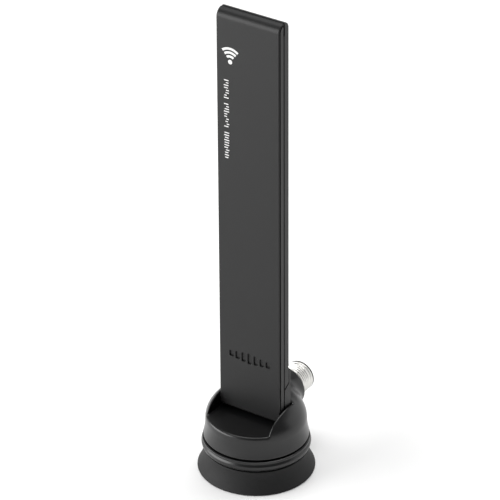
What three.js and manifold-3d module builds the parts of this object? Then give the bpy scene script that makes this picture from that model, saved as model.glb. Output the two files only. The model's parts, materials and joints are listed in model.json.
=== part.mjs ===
// Indoor paddle aerial on a suction foot, in millimetres, +Z up.
// The upright paddle folds forward in the slot of a dome, the dome turns on the foot, and the foot
// presses down on its rubber cup. The coaxial jack points away from the paddle's printed face.
import * as THREE from 'three';
import { mergeVertices } from 'three/addons/utils/BufferGeometryUtils.js';
import Module from 'manifold-3d';

const wasm = await Module();
wasm.setup();

// ---- driving dimensions -------------------------------------------------------------------------
const GAP = 0.3;                 // between pieces that touch on the real object
const RUN = 0.05;                // radial clearance of a turning fit
const LARGE = 48;                // sides of the big turned pieces
const SMALL = 16;                // sides of screws, pins and washers

const CUP_R = 17.6;              // rubber rim on the surface
const CUP_TOP = 6.9;
const CUP_TOP_R = 15.6;
const CUP_HOLLOW = 3.6;          // height of the vacuum space at the axis

const RING_Z0 = 7.2;
const RING_Z1 = 10.8;
const RING_R = 16.35;
const RING_BORE = 12.9;

const DOME_Z0 = 11.2;            // lower edge of the dome
const DOME_SKIRT_R = 15.84;
const DOME_R = 15.12;            // radius where the ellipsoid starts
const DOME_MID = 16.48;          // height where the ellipsoid starts
const DOME_H = 10.94;            // height of the ellipsoid
const DOME_WALL = 1.6;

const PADDLE_W = 21;
const PADDLE_FRONT = -3.4;
const PADDLE_BACK = 1.7;
const PADDLE_TOP = 150;
const PARTING = -0.7;            // the groove between the two paddle shells
const SHELL_WALL = 1.2;
const FRONT_ROUND = 2.55;        // radius over the top of the front shell
const REAR_ROUND = 2.25;
const EDGE = 0.4;                // rounding of the paddle's long edges

const SLOT_HALF = PADDLE_W / 2 + GAP;
const SLOT_FLOOR = 18.5;
const SLOT_BACK = 2.9;
const FLOOR_WALL = 1.5;
const BACK_WALL = 1.2;

const HINGE_Y = -1.5;
const HINGE_Z = 21.0;
const KNUCKLE_R = 2.1;
const PIN_R = 0.9;

const JACK_Z = 18.5;
const JACK_R = 4.75;             // 3/8 inch thread
const JACK_END = 24.4;
const BOSS_R = 6.3;
const BOSS_END = 17.0;

const STUD_R = 1.5;
const POST_R = 5.0;
const LEAD_R = 0.7;
const LEAD_Z = 23.4;             // height where the lead crosses from dome to paddle

// The frame's origin is under the middle of the whole footprint, so the cup's axis sits forward.
const FRAME_SHIFT_Y = -(JACK_END - CUP_R) / 2;

// ---- materials ----------------------------------------------------------------------------------
function material(color, roughness, metalness) {
  return new THREE.MeshStandardMaterial({ color, roughness, metalness });
}
const shellPlastic = material(0x2b2c2e, 0.55, 0);
const domePlastic = material(0x1d1e20, 0.35, 0);
const rubber = material(0x232323, 0.85, 0);
const nickel = material(0xd9d9d6, 0.2, 1);
const steel = material(0xa9abad, 0.35, 1);
const brass = material(0xb59a55, 0.35, 1);
const copper = material(0xb46a42, 0.35, 1);
const solder = material(0xb9bbbd, 0.4, 1);
const boardGreen = material(0x1f5a3a, 0.5, 0);
const whitePlastic = material(0xe6e4da, 0.5, 0);
const ceramic = material(0x7a6a58, 0.6, 0);
const fibre = material(0x6b4a33, 0.8, 0);
const jacket = material(0x3a3633, 0.5, 0);

// ---- geometry helpers ---------------------------------------------------------------------------
function bare(geometry) {
  const copy = geometry.clone();
  copy.deleteAttribute('normal');
  copy.deleteAttribute('uv');
  return mergeVertices(copy, 1e-5);
}

function toSolid(geometry) {
  const merged = bare(geometry);
  const mesh = new wasm.Mesh({
    numProp: 3,
    vertProperties: new Float32Array(merged.attributes.position.array),
    triVerts: new Uint32Array(merged.index.array),
  });
  return new wasm.Manifold(mesh);
}

function toGeometry(solid) {
  const mesh = solid.getMesh();
  const geometry = new THREE.BufferGeometry();
  geometry.setAttribute('position', new THREE.BufferAttribute(new Float32Array(mesh.vertProperties), 3));
  geometry.setIndex(new THREE.BufferAttribute(new Uint32Array(mesh.triVerts), 1));
  geometry.computeVertexNormals();
  return geometry;
}

function join(base, ...tools) {
  return tools.reduce((sum, tool) => sum.add(toSolid(tool)), toSolid(base));
}

function cut(solid, ...tools) {
  return tools.reduce((rest, tool) => rest.subtract(toSolid(tool)), solid);
}

function box(x0, x1, y0, y1, z0, z1) {
  const geometry = new THREE.BoxGeometry(x1 - x0, y1 - y0, z1 - z0);
  return geometry.translate((x0 + x1) / 2, (y0 + y1) / 2, (z0 + z1) / 2);
}

// Local axes of a turned or extruded piece, laid along a frame axis without mirroring it.
const AXES = {
  X: new THREE.Matrix4().makeRotationZ(-Math.PI / 2),
  Y: new THREE.Matrix4(),
  Z: new THREE.Matrix4().makeRotationX(Math.PI / 2),
};

function rod(axis, radius, from, to, centre = [0, 0], sides = SMALL) {
  const geometry = new THREE.CylinderGeometry(radius, radius, to - from, sides);
  geometry.translate(0, (from + to) / 2, 0);
  return place(geometry, axis, centre);
}

function place(geometry, axis, [a, b]) {
  geometry.applyMatrix4(AXES[axis]);
  if (axis === 'X') return geometry.translate(0, a, b);
  if (axis === 'Y') return geometry.translate(a, 0, b);
  return geometry.translate(a, b, 0);
}

// A turned piece: [radius, height] pairs, listed so that the material is on the left going up the
// outside. A profile that doesn't start and end on the axis is closed on itself, as a ring.
function turned(axis, profile, centre = [0, 0], sides = LARGE) {
  const points = profile.map(([r, h]) => new THREE.Vector2(r, h));
  const isRing = profile[0][0] > 0;
  if (isRing) points.push(points[0].clone());
  return place(new THREE.LatheGeometry(points, sides), axis, centre);
}

function ring(axis, inner, outer, from, to, centre = [0, 0], sides = SMALL) {
  return turned(axis, [[inner, from], [outer, from], [outer, to], [inner, to]], centre, sides);
}

function arc(cx, cy, radius, fromDeg, toDeg, steps, ry = radius) {
  const points = [];
  for (let i = 0; i <= steps; i++) {
    const t = THREE.MathUtils.degToRad(fromDeg + (toDeg - fromDeg) * i / steps);
    points.push([cx + radius * Math.cos(t), cy + ry * Math.sin(t)]);
  }
  return points;
}

// A [y, z] outline drawn across the paddle's width, with its long edges rounded over.
function across(outline, width, rounding = 0) {
  const shape = new THREE.Shape(outline.map(([y, z]) => new THREE.Vector2(y, z)));
  const geometry = new THREE.ExtrudeGeometry(shape, {
    depth: width - 2 * rounding,
    bevelEnabled: rounding > 0,
    bevelThickness: rounding,
    bevelSize: rounding,
    bevelOffset: -rounding,
    bevelSegments: 2,
  });
  geometry.translate(0, 0, -width / 2 + rounding);
  const toFrame = new THREE.Matrix4().makeBasis(
    new THREE.Vector3(0, 1, 0), new THREE.Vector3(0, 0, 1), new THREE.Vector3(1, 0, 0));
  return geometry.applyMatrix4(toFrame);
}

function tube(points, radius, steps) {
  const path = new THREE.CatmullRomCurve3(points.map(([x, y, z]) => new THREE.Vector3(x, y, z)));
  const section = new THREE.Shape(arc(0, 0, radius, 0, 315, 7).map(([x, y]) => new THREE.Vector2(x, y)));
  return new THREE.ExtrudeGeometry(section, { steps, bevelEnabled: false, extrudePath: path });
}

const root = new THREE.Group();
const model = new THREE.Group();
model.position.y = FRAME_SHIFT_Y;
root.add(model);

function add(name, geometry, look) {
  const isSolid = !geometry.isBufferGeometry;
  const mesh = new THREE.Mesh(isSolid ? toGeometry(geometry) : geometry, look);
  mesh.name = name;
  model.add(mesh);
}

// ---- the foot: rubber cup, its stud, the hub and the collar -----------------------------------------
const STUD_HEAD_R = 4.3;
const STUD_HEAD_Z0 = 5.0;
const STUD_HEAD_Z1 = 6.0;
const HUB_TOP = 9.9;
const DISC_Z0 = HUB_TOP + GAP;
const DISC_Z1 = DOME_Z0 - GAP;
const PLATE_T = 1.5;
const PLATE_TOP = DOME_Z0 + PLATE_T;
const POST_TOP = PLATE_TOP + 0.95;
const WASHER_R = 7.8;
const WASHER_Z0 = POST_TOP + GAP;
const WASHER_Z1 = WASHER_Z0 + 0.6;
const NUT_Z0 = WASHER_Z1 + GAP;
const NUT_Z1 = NUT_Z0 + 1.8;

function suctionCup() {
  const flare = [[CUP_R, 0.5], [17.0, 1.9], [16.4, 3.4], [15.95, 5.0], [CUP_TOP_R + 0.1, 6.5]];
  const bore = STUD_R + GAP;
  const pocket = STUD_HEAD_R + GAP;
  return turned('Z', [
    [0, CUP_HOLLOW], [5.0, 3.4], [9.5, 2.7], [13.2, 1.5], [15.6, 0.35], [16.3, 0], [CUP_R - 0.3, 0],
    ...flare,
    [CUP_TOP_R - 0.2, CUP_TOP], [bore, CUP_TOP], [bore, STUD_HEAD_Z1 + GAP],
    [pocket, STUD_HEAD_Z1 + GAP], [pocket, STUD_HEAD_Z0 - GAP], [0, STUD_HEAD_Z0 - GAP],
  ]);
}

function cupStud() {
  return turned('Z', [
    [0, STUD_HEAD_Z0], [STUD_HEAD_R, STUD_HEAD_Z0], [STUD_HEAD_R, STUD_HEAD_Z1],
    [STUD_R, STUD_HEAD_Z1], [STUD_R, NUT_Z1 - GAP], [STUD_R - 0.3, NUT_Z1], [0, NUT_Z1],
  ], [0, 0], SMALL);
}

function swivelHub() {
  const bore = STUD_R + GAP;
  return turned('Z', [
    [bore, RING_Z0 + GAP], [RING_BORE - GAP, RING_Z0 + GAP], [RING_BORE - GAP, HUB_TOP],
    [POST_R, HUB_TOP], [POST_R, POST_TOP - 0.3], [POST_R - 0.3, POST_TOP], [bore, POST_TOP],
  ]);
}

function collarRing() {
  return turned('Z', [
    [RING_BORE, RING_Z0], [RING_R - 0.9, RING_Z0], [RING_R - 0.35, RING_Z0 + 0.35],
    [RING_R, RING_Z0 + 1.2], [RING_R, RING_Z0 + 2.0], [RING_R - 0.2, RING_Z0 + 2.6],
    [RING_R - 0.35, RING_Z0 + 3.3], [RING_R - 0.7, RING_Z1], [RING_BORE, RING_Z1],
  ]);
}

// A three-wave spring washer, thin all round.
function waveWasher() {
  const inner = POST_R + 0.4;
  const outer = inner + 2.2;
  const thickness = 0.25;
  const wave = 0.2;
  const rest = PLATE_TOP + 0.25 + wave;
  const geometry = ring('Z', inner, outer, rest, rest + thickness, [0, 0], 36);
  const position = geometry.attributes.position;
  for (let i = 0; i < position.count; i++) {
    const turn = Math.atan2(position.getY(i), position.getX(i));
    position.setZ(i, position.getZ(i) + wave * Math.cos(3 * turn));
  }
  return geometry;
}

function hexNut(axis, circumradius, bore, from, to, centre) {
  const blank = rod(axis, circumradius, from, to, centre, 6);
  return cut(toSolid(blank), rod(axis, bore, from - 1, to + 1, centre, SMALL));
}

add('suction_cup', suctionCup(), rubber);
add('cup_stud', cupStud(), steel);
add('swivel_hub', swivelHub(), domePlastic);
add('collar_ring', collarRing(), domePlastic);
add('friction_disc', ring('Z', POST_R + GAP, 8.6, DISC_Z0, DISC_Z1, [0, 0], 32), fibre);
add('wave_washer', waveWasher(), steel);
add('spindle_washer', ring('Z', STUD_R + GAP, WASHER_R, WASHER_Z0, WASHER_Z1, [0, 0], 32), steel);
add('spindle_nut', hexNut('Z', 3.2, STUD_R + GAP, NUT_Z0, NUT_Z1, [0, 0]), steel);

// ---- the turret: dome, base plate, jack and its lead ------------------------------------------------
const SCREW_CIRCLE = 11.0;
const SCREW_ANGLES = [270, 30, 150];
const SCREW_R = 0.9;
const SCREW_HEAD_R = 1.9;
const HEAD_Z0 = DOME_Z0 + 0.1;
const HEAD_Z1 = HEAD_Z0 + 0.6;
const SCREW_TOP = 16.3;
const SHOULDER_Y0 = 13.3;        // the wall inside the boss that the jack is clamped to
const SHOULDER_Y1 = 15.1;
const SHANK_R = 3.4;
const COLLAR_R = 5.4;

function screwPlaces() {
  return SCREW_ANGLES.map((deg) => {
    const t = THREE.MathUtils.degToRad(deg);
    return [SCREW_CIRCLE * Math.cos(t), SCREW_CIRCLE * Math.sin(t)];
  });
}

function ellipsoid(radius, height, steps) {
  return arc(0, DOME_MID, radius, 0, 90, steps, height).slice(0, -1);
}

function domeHousing() {
  const outside = turned('Z', [
    [0, DOME_Z0], [DOME_SKIRT_R - 0.35, DOME_Z0], [DOME_SKIRT_R, DOME_Z0 + 0.35],
    ...ellipsoid(DOME_R, DOME_H, 10), [0, DOME_MID + DOME_H],
  ]);
  const boss = turned('Y', [
    [0, 5], [BOSS_R, 5], [BOSS_R, BOSS_END - 0.5], [BOSS_R - 0.5, BOSS_END], [0, BOSS_END],
  ], [0, JACK_Z], 36);
  const below = DOME_Z0 - 1;
  const inside = toSolid(turned('Z', [
    [0, below], [14.2, below], [14.2, DOME_Z0 + 1], ...ellipsoid(DOME_R - DOME_WALL, DOME_H - DOME_WALL, 8),
    [0, DOME_MID + DOME_H - DOME_WALL],
  ]));
  const solidAbove = box(-20, 20, -20, SLOT_BACK + BACK_WALL, SLOT_FLOOR - FLOOR_WALL, 40);
  const posts = screwPlaces().map((place, i) => {
    const top = i === 0 ? SLOT_FLOOR - 1 : 21.5;
    return rod('Z', SCREW_HEAD_R, PLATE_TOP + GAP, top, place);
  });
  const hollow = cut(inside, solidAbove, ...posts);
  let dome = join(outside, boss).subtract(hollow);
  dome = cut(dome,
    box(-SLOT_HALF, SLOT_HALF, -20, SLOT_BACK, SLOT_FLOOR, 40),
    rod('Y', SHANK_R + GAP, 10, BOSS_END + 1, [0, JACK_Z], 24),
    rod('Y', BOSS_R - 1.0, SLOT_BACK + BACK_WALL + GAP, SHOULDER_Y0, [0, JACK_Z], 24),
    rod('Y', COLLAR_R + GAP, SHOULDER_Y1, BOSS_END + 1, [0, JACK_Z], 32),
    rod('Y', LEAD_R + GAP, SLOT_BACK - 1, SLOT_BACK + BACK_WALL + 1, [0, LEAD_Z]));
  for (const side of [-1, 1]) {
    dome = cut(dome,
      sideRod(side, 1.95, SLOT_HALF - 1, SLOT_HALF + 0.9),
      sideRod(side, PIN_R + RUN, SLOT_HALF, SLOT_HALF + 1.9));
  }
  for (const place of screwPlaces()) {
    dome = cut(dome, rod('Z', SCREW_R + GAP, PLATE_TOP, SCREW_TOP + GAP, place));
  }
  return dome;
}

// A rod along the hinge axis on one side of the paddle.
function sideRod(side, radius, near, far) {
  const from = side > 0 ? near : -far;
  const to = side > 0 ? far : -near;
  return rod('X', radius, from, to, [HINGE_Y, HINGE_Z]);
}

function basePlate() {
  const bore = POST_R + RUN;
  let plate = toSolid(turned('Z', [
    [bore, DOME_Z0], [13.9, DOME_Z0], [13.9, PLATE_TOP], [bore, PLATE_TOP],
  ]));
  for (const place of screwPlaces()) {
    plate = cut(plate,
      rod('Z', SCREW_R + GAP, DOME_Z0 - 1, PLATE_TOP + 1, place),
      rod('Z', SCREW_HEAD_R + GAP, DOME_Z0 - 1, HEAD_Z1 + GAP, place));
  }
  return plate;
}

function baseScrew(place) {
  return turned('Z', [
    [0, HEAD_Z0], [SCREW_HEAD_R, HEAD_Z0], [SCREW_HEAD_R, HEAD_Z1], [SCREW_R, HEAD_Z1],
    [SCREW_R, SCREW_TOP - 0.8], [0.3, SCREW_TOP], [0, SCREW_TOP],
  ], place, 12);
}

function jackBody() {
  const leadIn = JACK_END - 1.6;
  return turned('Y', [
    [2.5, 9.2], [SHANK_R, 9.2], [SHANK_R, SHOULDER_Y1 + GAP], [COLLAR_R, SHOULDER_Y1 + GAP],
    [COLLAR_R, BOSS_END - 0.1], [JACK_R, BOSS_END - 0.1], [JACK_R, leadIn], [JACK_R - 0.3, leadIn + 0.2],
    [JACK_R - 0.3, JACK_END - 0.2], [JACK_R - 0.5, JACK_END], [3.6, JACK_END], [3.6, 17.5], [2.5, 17.5],
  ], [0, JACK_Z], 32);
}

function jackInsulator() {
  return turned('Y', [
    [1.6, 8.9], [2.2, 8.9], [2.2, 17.8], [3.3, 17.8], [3.3, 23.8], [0.9, 23.8], [0.9, 23.2], [1.6, 23.2],
  ], [0, JACK_Z], 20);
}

add('dome_housing', domeHousing(), domePlastic);
add('base_plate', basePlate(), domePlastic);
screwPlaces().forEach((place, i) => add(`base_screw_${i + 1}`, baseScrew(place), steel));
add('jack_body', jackBody(), nickel);
add('jack_insulator', jackInsulator(), whitePlastic);
add('jack_contact', ring('Y', 0.6, 1.3, 7.4, 22.9, [0, JACK_Z]), brass);
add('jack_lock_washer', ring('Y', SHANK_R + GAP, 5.0, 12.6, 13.0, [0, JACK_Z], 20), steel);
add('jack_nut', hexNut('Y', 5.0, SHANK_R + GAP, 10.3, 12.3, [0, JACK_Z]), nickel);
add('coax_lower', tube([
  [0, 7.0, JACK_Z], [-1.3, 6.1, 17.8], [-3.2, 5.6, 18.6], [-3.6, 5.5, 20.8], [-1.8, 5.5, 22.7],
  [0, 4.6, LEAD_Z], [0, 3.15, LEAD_Z],
], LEAD_R, 16), jacket);

for (const [side, word] of [[-1, 'left'], [1, 'right']]) {
  const near = SLOT_HALF + 0.05;
  const from = side > 0 ? near : -near - 0.5;
  add(`friction_washer_${word}`, ring('X', PIN_R + GAP, 1.65, from, from + 0.5, [HINGE_Y, HINGE_Z]), fibre);
}

// ---- the paddle: two shells, the neck that carries them, and the circuit inside ---------------------
const FRONT_SHELL_REAR = PARTING - GAP / 2;
const REAR_SHELL_FRONT = PARTING + GAP / 2;
const FOOT_TOP = 30;             // the front shell is solid below this height
const HOLLOW_HALF = PADDLE_W / 2 - SHELL_WALL;
const HOLLOW_TOP = PADDLE_TOP - 1.4;
const HOLLOW_FRONT = PADDLE_FRONT + SHELL_WALL;
const HOLLOW_BACK = PADDLE_BACK - SHELL_WALL;
const REAR_SHELL_Z0 = 29.9;
const BRACKET_FRONT = -0.5;
const BRACKET_BACK = 2.6;
const BRACKET_Z0 = 21.3;
const TONGUE_TOP = 35.6;
const NECK_SCREW_X = 6.8;
const NECK_SCREW_Z = 27.4;
const BOARD_Y0 = -1.6;
const BOARD_Y1 = -0.8;
const BOARD_Z0 = 36;
const BOARD_Z1 = 146.5;
const BOARD_HALF = 8.7;
const FOIL_Y0 = BOARD_Y1 + GAP;
const FOIL_Y1 = FOIL_Y0 + 0.2;
const BOARD_SCREWS = { upper: [5.6, 140], lower: [5.6, 46] };

function knuckleArc(fromDeg, toDeg, radius, steps) {
  return arc(HINGE_Y, HINGE_Z, radius, fromDeg, toDeg, steps);
}

// Slots at the top of the parting line, where the shells are prised apart.
function prySlots() {
  const deep = PADDLE_W / 2 - 0.6;
  const side = (x0, x1) => box(x0, x1, PARTING - 0.35, PARTING + 0.35, PADDLE_TOP - 4.1, PADDLE_TOP - 0.4);
  return [side(deep, deep + 2), side(-deep - 2, -deep)];
}

function frontShell() {
  const front = PADDLE_FRONT - HINGE_Y;
  const rear = FRONT_SHELL_REAR - HINGE_Y;
  const frontDeg = -180 + THREE.MathUtils.radToDeg(Math.acos(-front / KNUCKLE_R));
  const rearDeg = THREE.MathUtils.radToDeg(Math.acos(rear / KNUCKLE_R));
  const outline = [
    ...arc(PADDLE_FRONT + FRONT_ROUND, PADDLE_TOP - FRONT_ROUND, FRONT_ROUND, 180, 90, 6),
    ...knuckleArc(rearDeg, frontDeg, KNUCKLE_R, 12),
  ];
  let shell = toSolid(across(outline.reverse(), PADDLE_W, EDGE));
  shell = cut(shell, box(-HOLLOW_HALF, HOLLOW_HALF, HOLLOW_FRONT, 1, FOOT_TOP, HOLLOW_TOP), ...prySlots());
  for (const side of [-1, 1]) {
    shell = cut(shell,
      sideRod(side, PIN_R + GAP, 6.3, PADDLE_W),
      rod('Y', SCREW_R + GAP, -2.6, 1, [side * NECK_SCREW_X, NECK_SCREW_Z]));
  }
  for (const spot of Object.values(BOARD_SCREWS)) {
    shell = shell.add(toSolid(rod('Y', 1.5, HOLLOW_FRONT - 0.5, BOARD_Y0 - GAP, spot)));
    shell = cut(shell, rod('Y', 0.8, -2.9, 1, spot));
  }
  return shell;
}

function rearShell() {
  const outline = [
    [REAR_SHELL_FRONT, REAR_SHELL_Z0], [PADDLE_BACK, REAR_SHELL_Z0 + 1.4],
    ...arc(PADDLE_BACK - REAR_ROUND, PADDLE_TOP - REAR_ROUND, REAR_ROUND, 0, 90, 6),
  ];
  return cut(toSolid(across(outline, PADDLE_W, EDGE)),
    box(-HOLLOW_HALF, HOLLOW_HALF, -2, HOLLOW_BACK, REAR_SHELL_Z0 + 2.6, HOLLOW_TOP),
    box(-1.2, 1.2, -2, HOLLOW_BACK + 0.8, REAR_SHELL_Z0 - 1, REAR_SHELL_Z0 + 4),
    ...prySlots());
}

function neckBracket() {
  const outline = [
    [BRACKET_FRONT, BRACKET_Z0], [BRACKET_BACK, BRACKET_Z0], [BRACKET_BACK, TONGUE_TOP],
    [PADDLE_BACK + GAP, TONGUE_TOP], [PADDLE_BACK + GAP, REAR_SHELL_Z0 + 1.1],
    [BRACKET_FRONT, REAR_SHELL_Z0 - 0.4],
  ];
  let bracket = cut(toSolid(across(outline, PADDLE_W, 0.25)),
    rod('X', KNUCKLE_R + GAP, -20, 20, [HINGE_Y, HINGE_Z], 32),
    box(-1.1, 1.1, -1, 1.35, BRACKET_Z0 - 1, REAR_SHELL_Z0 + 3),
    rod('Y', LEAD_R + GAP, 0, 4, [0, LEAD_Z]));
  for (const side of [-1, 1]) {
    const spot = [side * NECK_SCREW_X, NECK_SCREW_Z];
    bracket = cut(bracket, rod('Y', SCREW_R + GAP, -1, 4, spot), rod('Y', SCREW_HEAD_R + GAP, 1.2, 4, spot));
  }
  return bracket;
}

function neckScrew(x) {
  return turned('Y', [
    [0, -2.3], [0.3, -2.3], [SCREW_R, -1.6], [SCREW_R, 1.5], [SCREW_HEAD_R, 1.5], [SCREW_HEAD_R, 2.3],
    [0, 2.3],
  ], [x, NECK_SCREW_Z], 12);
}

function antennaBoard() {
  const holes = Object.values(BOARD_SCREWS).map((spot) => rod('Y', 0.9, -3, 1, spot));
  return cut(toSolid(box(-BOARD_HALF, BOARD_HALF, BOARD_Y0, BOARD_Y1, BOARD_Z0, BOARD_Z1)), ...holes);
}

function boardScrew(spot) {
  return turned('Y', [
    [0, -2.6], [0.5, -2.5], [0.5, FOIL_Y0], [1.2, FOIL_Y0], [1.2, FOIL_Y0 + 0.5], [0, FOIL_Y0 + 0.5],
  ], spot, 12);
}

function foil(x0, x1, z0, z1) {
  return box(x0, x1, FOIL_Y0, FOIL_Y1, z0, z1);
}

// The long arm: a straight strip that zigzags over its upper half.
function upperElement() {
  const width = 1.6;
  const reach = 7.0;
  const turns = 5;
  const pitch = 6.4;
  const start = 88;
  let strip = toSolid(foil(-width / 2, width / 2, 60, start + width));
  for (let i = 0; i < turns; i++) {
    const z = start + i * pitch;
    const side = i % 2 === 0 ? -1 : 1;
    const low = Math.min(side * reach, 0) - width / 2;
    const high = Math.max(side * reach, 0) + width / 2;
    const outer = side * reach;
    strip = strip.add(toSolid(foil(low, high, z, z + width)));
    strip = strip.add(toSolid(foil(outer - width / 2, outer + width / 2, z, z + pitch + width)));
    strip = strip.add(toSolid(foil(low, high, z + pitch, z + pitch + width)));
  }
  return strip;
}

function coaxUpper() {
  const inner = tube([
    [0, 2.3, LEAD_Z], [0, 1.2, LEAD_Z + 0.15], [0, 0.35, LEAD_Z + 1.2], [0, 0.25, 27],
    [0, 0.1, 31], [0, -0.25, 35.2],
  ], LEAD_R - 0.05, 14);
  return join(inner, rod('Z', 0.2, 35, 37.2, [0, -0.25], 8));
}

add('front_shell', frontShell(), shellPlastic);
add('rear_shell', rearShell(), shellPlastic);
add('neck_bracket', neckBracket(), shellPlastic);
add('neck_screw_left', neckScrew(-NECK_SCREW_X), steel);
add('neck_screw_right', neckScrew(NECK_SCREW_X), steel);
add('hinge_pin_left', sideRod(-1, PIN_R, 6.6, SLOT_HALF + 1.65), steel);
add('hinge_pin_right', sideRod(1, PIN_R, 6.6, SLOT_HALF + 1.65), steel);
add('antenna_board', antennaBoard(), boardGreen);
for (const [word, spot] of Object.entries(BOARD_SCREWS)) {
  add(`board_screw_${word}`, boardScrew(spot), steel);
}
add('upper_element', upperElement(), copper);
add('lower_element', foil(-6, 2.6, 42, 56), copper);
add('matching_coil', box(-0.8, 0.8, FOIL_Y0, FOIL_Y0 + 0.6, 57, 59.2), ceramic);
add('coupling_capacitor', box(-0.7, 0.7, FOIL_Y0, FOIL_Y0 + 0.6, 39.4, 41.2), ceramic);
add('feed_solder', box(-0.8, 0.8, FOIL_Y0, FOIL_Y0 + 0.5, 37.6, 39.0), solder);
add('coax_upper', coaxUpper(), jacket);

export default root;
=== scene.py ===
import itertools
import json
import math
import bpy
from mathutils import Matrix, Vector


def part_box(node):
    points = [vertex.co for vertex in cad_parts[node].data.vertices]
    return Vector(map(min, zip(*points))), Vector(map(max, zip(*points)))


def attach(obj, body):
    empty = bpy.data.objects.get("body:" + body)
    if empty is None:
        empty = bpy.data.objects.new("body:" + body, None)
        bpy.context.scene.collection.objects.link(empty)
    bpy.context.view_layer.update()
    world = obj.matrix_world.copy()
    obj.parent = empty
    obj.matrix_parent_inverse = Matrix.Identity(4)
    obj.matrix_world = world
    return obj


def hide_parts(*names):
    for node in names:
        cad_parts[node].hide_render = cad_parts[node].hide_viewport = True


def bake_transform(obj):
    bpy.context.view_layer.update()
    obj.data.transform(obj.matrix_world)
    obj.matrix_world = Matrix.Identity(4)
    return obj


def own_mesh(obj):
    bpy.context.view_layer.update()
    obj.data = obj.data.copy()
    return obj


bl_info = {
    "name": "Indoor Paddle Aerial",
    "version": (1, 0, 0),
    "blender": (4, 5, 0),
    "location": "3D View > Sidebar > Aerial",
    "description": "Builds the finished look of a folding paddle aerial on a suction foot",
    "category": "Add Mesh",
}

import bmesh
import bpy
import numpy as np
from bpy.props import BoolProperty, FloatProperty, FloatVectorProperty, IntProperty, PointerProperty
from mathutils import Matrix, Vector

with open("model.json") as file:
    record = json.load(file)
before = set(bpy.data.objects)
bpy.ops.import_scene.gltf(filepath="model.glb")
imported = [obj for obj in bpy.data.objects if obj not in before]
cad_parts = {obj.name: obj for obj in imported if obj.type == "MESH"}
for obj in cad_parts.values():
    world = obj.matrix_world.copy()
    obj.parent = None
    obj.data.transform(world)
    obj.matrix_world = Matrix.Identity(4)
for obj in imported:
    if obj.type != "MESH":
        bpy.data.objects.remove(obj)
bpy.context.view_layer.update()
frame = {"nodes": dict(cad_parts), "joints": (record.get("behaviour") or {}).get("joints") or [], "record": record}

MM = 0.001


# ---- places and sizes read from the frame, in millimetres -------------------------------------------
class Box:
    """The box of a CAD node, in millimetres."""

    def __init__(self, node):
        low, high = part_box(node)
        self.x0, self.y0, self.z0 = (v / MM for v in low)
        self.x1, self.y1, self.z1 = (v / MM for v in high)


CUP = Box("suction_cup")
RING = Box("collar_ring")
HUB = Box("swivel_hub")
STUD = Box("cup_stud")
DOME = Box("dome_housing")
PLATE = Box("base_plate")
JACK = Box("jack_body")
CORE = Box("jack_insulator")
FRONT = Box("front_shell")
REAR = Box("rear_shell")
NECK = Box("neck_bracket")
NECK_SCREWS = [Box("neck_screw_left"), Box("neck_screw_right")]
BASE_SCREWS = [Box(f"base_screw_{i}") for i in (1, 2, 3)]
LEAD = Box("coax_upper")
LOWER_LEAD = Box("coax_lower")

JOINTS = {joint["name"]: joint for joint in frame["joints"]}
HINGE_Y, HINGE_Z = (v / MM for v in JOINTS["paddle_fold"]["pos_m"][1:])
PRESS = JOINTS["cup_press"]["range_m"][1] / MM
AXIS_Y = (CUP.y0 + CUP.y1) / 2
JACK_X = (JACK.x0 + JACK.x1) / 2
JACK_Z = (JACK.z0 + JACK.z1) / 2
LEAD_Z = 23.4                    # height of the lead at the hinge, typed here to match the CAD


# ---- settings ---------------------------------------------------------------------------------------
def length(name, description, default):
    return FloatProperty(name=name, description=description, default=default * MM, unit="LENGTH")


def colour(name, description, default):
    return FloatVectorProperty(
        name=name, description=description, default=default, subtype="COLOR", size=3, min=0.0, max=1.0)


class AerialFootSettings(bpy.types.PropertyGroup):
    rubber: colour("Rubber", "Colour of the suction cup", (0.0085, 0.0085, 0.0088))
    lip: length("Cup lip", "Thickness of the cup's rubber at its rim", 0.6)
    ridge: length("Collar ridge", "Width of the thin ridge on top of the collar", 0.7)


class AerialTurretSettings(bpy.types.PropertyGroup):
    plastic: colour("Dome plastic", "Colour of the satin plastic", (0.0042, 0.0042, 0.0045))
    detail: length("Detail", "Grid step of the dome's surface", 0.24)
    edge: length("Slot edge", "Rounding along the edges of the slot", 0.8)
    fairing: length("Boss fairing", "Softness of the blend between dome and jack boss", 2.4)
    thread_pitch: length("Thread pitch", "Pitch of the jack's thread", 25.4 / 32)
    thread_depth: length("Thread depth", "Depth of the jack's thread", 0.24)


class AerialPaddleSettings(bpy.types.PropertyGroup):
    plastic: colour("Paddle plastic", "Colour of the matt plastic", (0.0078, 0.0078, 0.0080))
    edge: length("Edge", "Rounding of the paddle's long edges", 0.3)
    seam: length("Seam", "Width of the seam that follows the front cover's edge", 0.6)
    wall: length("Wall", "Wall thickness of the two shells", 1.2)


class AerialMarkSettings(bpy.types.PropertyGroup):
    ink: colour("Ink", "Colour of the printed marks", (0.86, 0.86, 0.85))
    film: length("Ink film", "Thickness of the printed film", 0.03)
    pitch: length("Tick pitch", "Distance between the ticks of the printed scale", 0.8)
    stroke: length("Tick stroke", "Width of a tick", 0.29)
    bars: IntProperty(name="Bars", description="Number of sunk bars on the paddle's foot", default=7, min=1)
    depth: length("Bar depth", "Depth of the sunk bars", 0.45)
    seed: IntProperty(name="Seed", description="Seed of the tick lengths", default=11)


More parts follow.
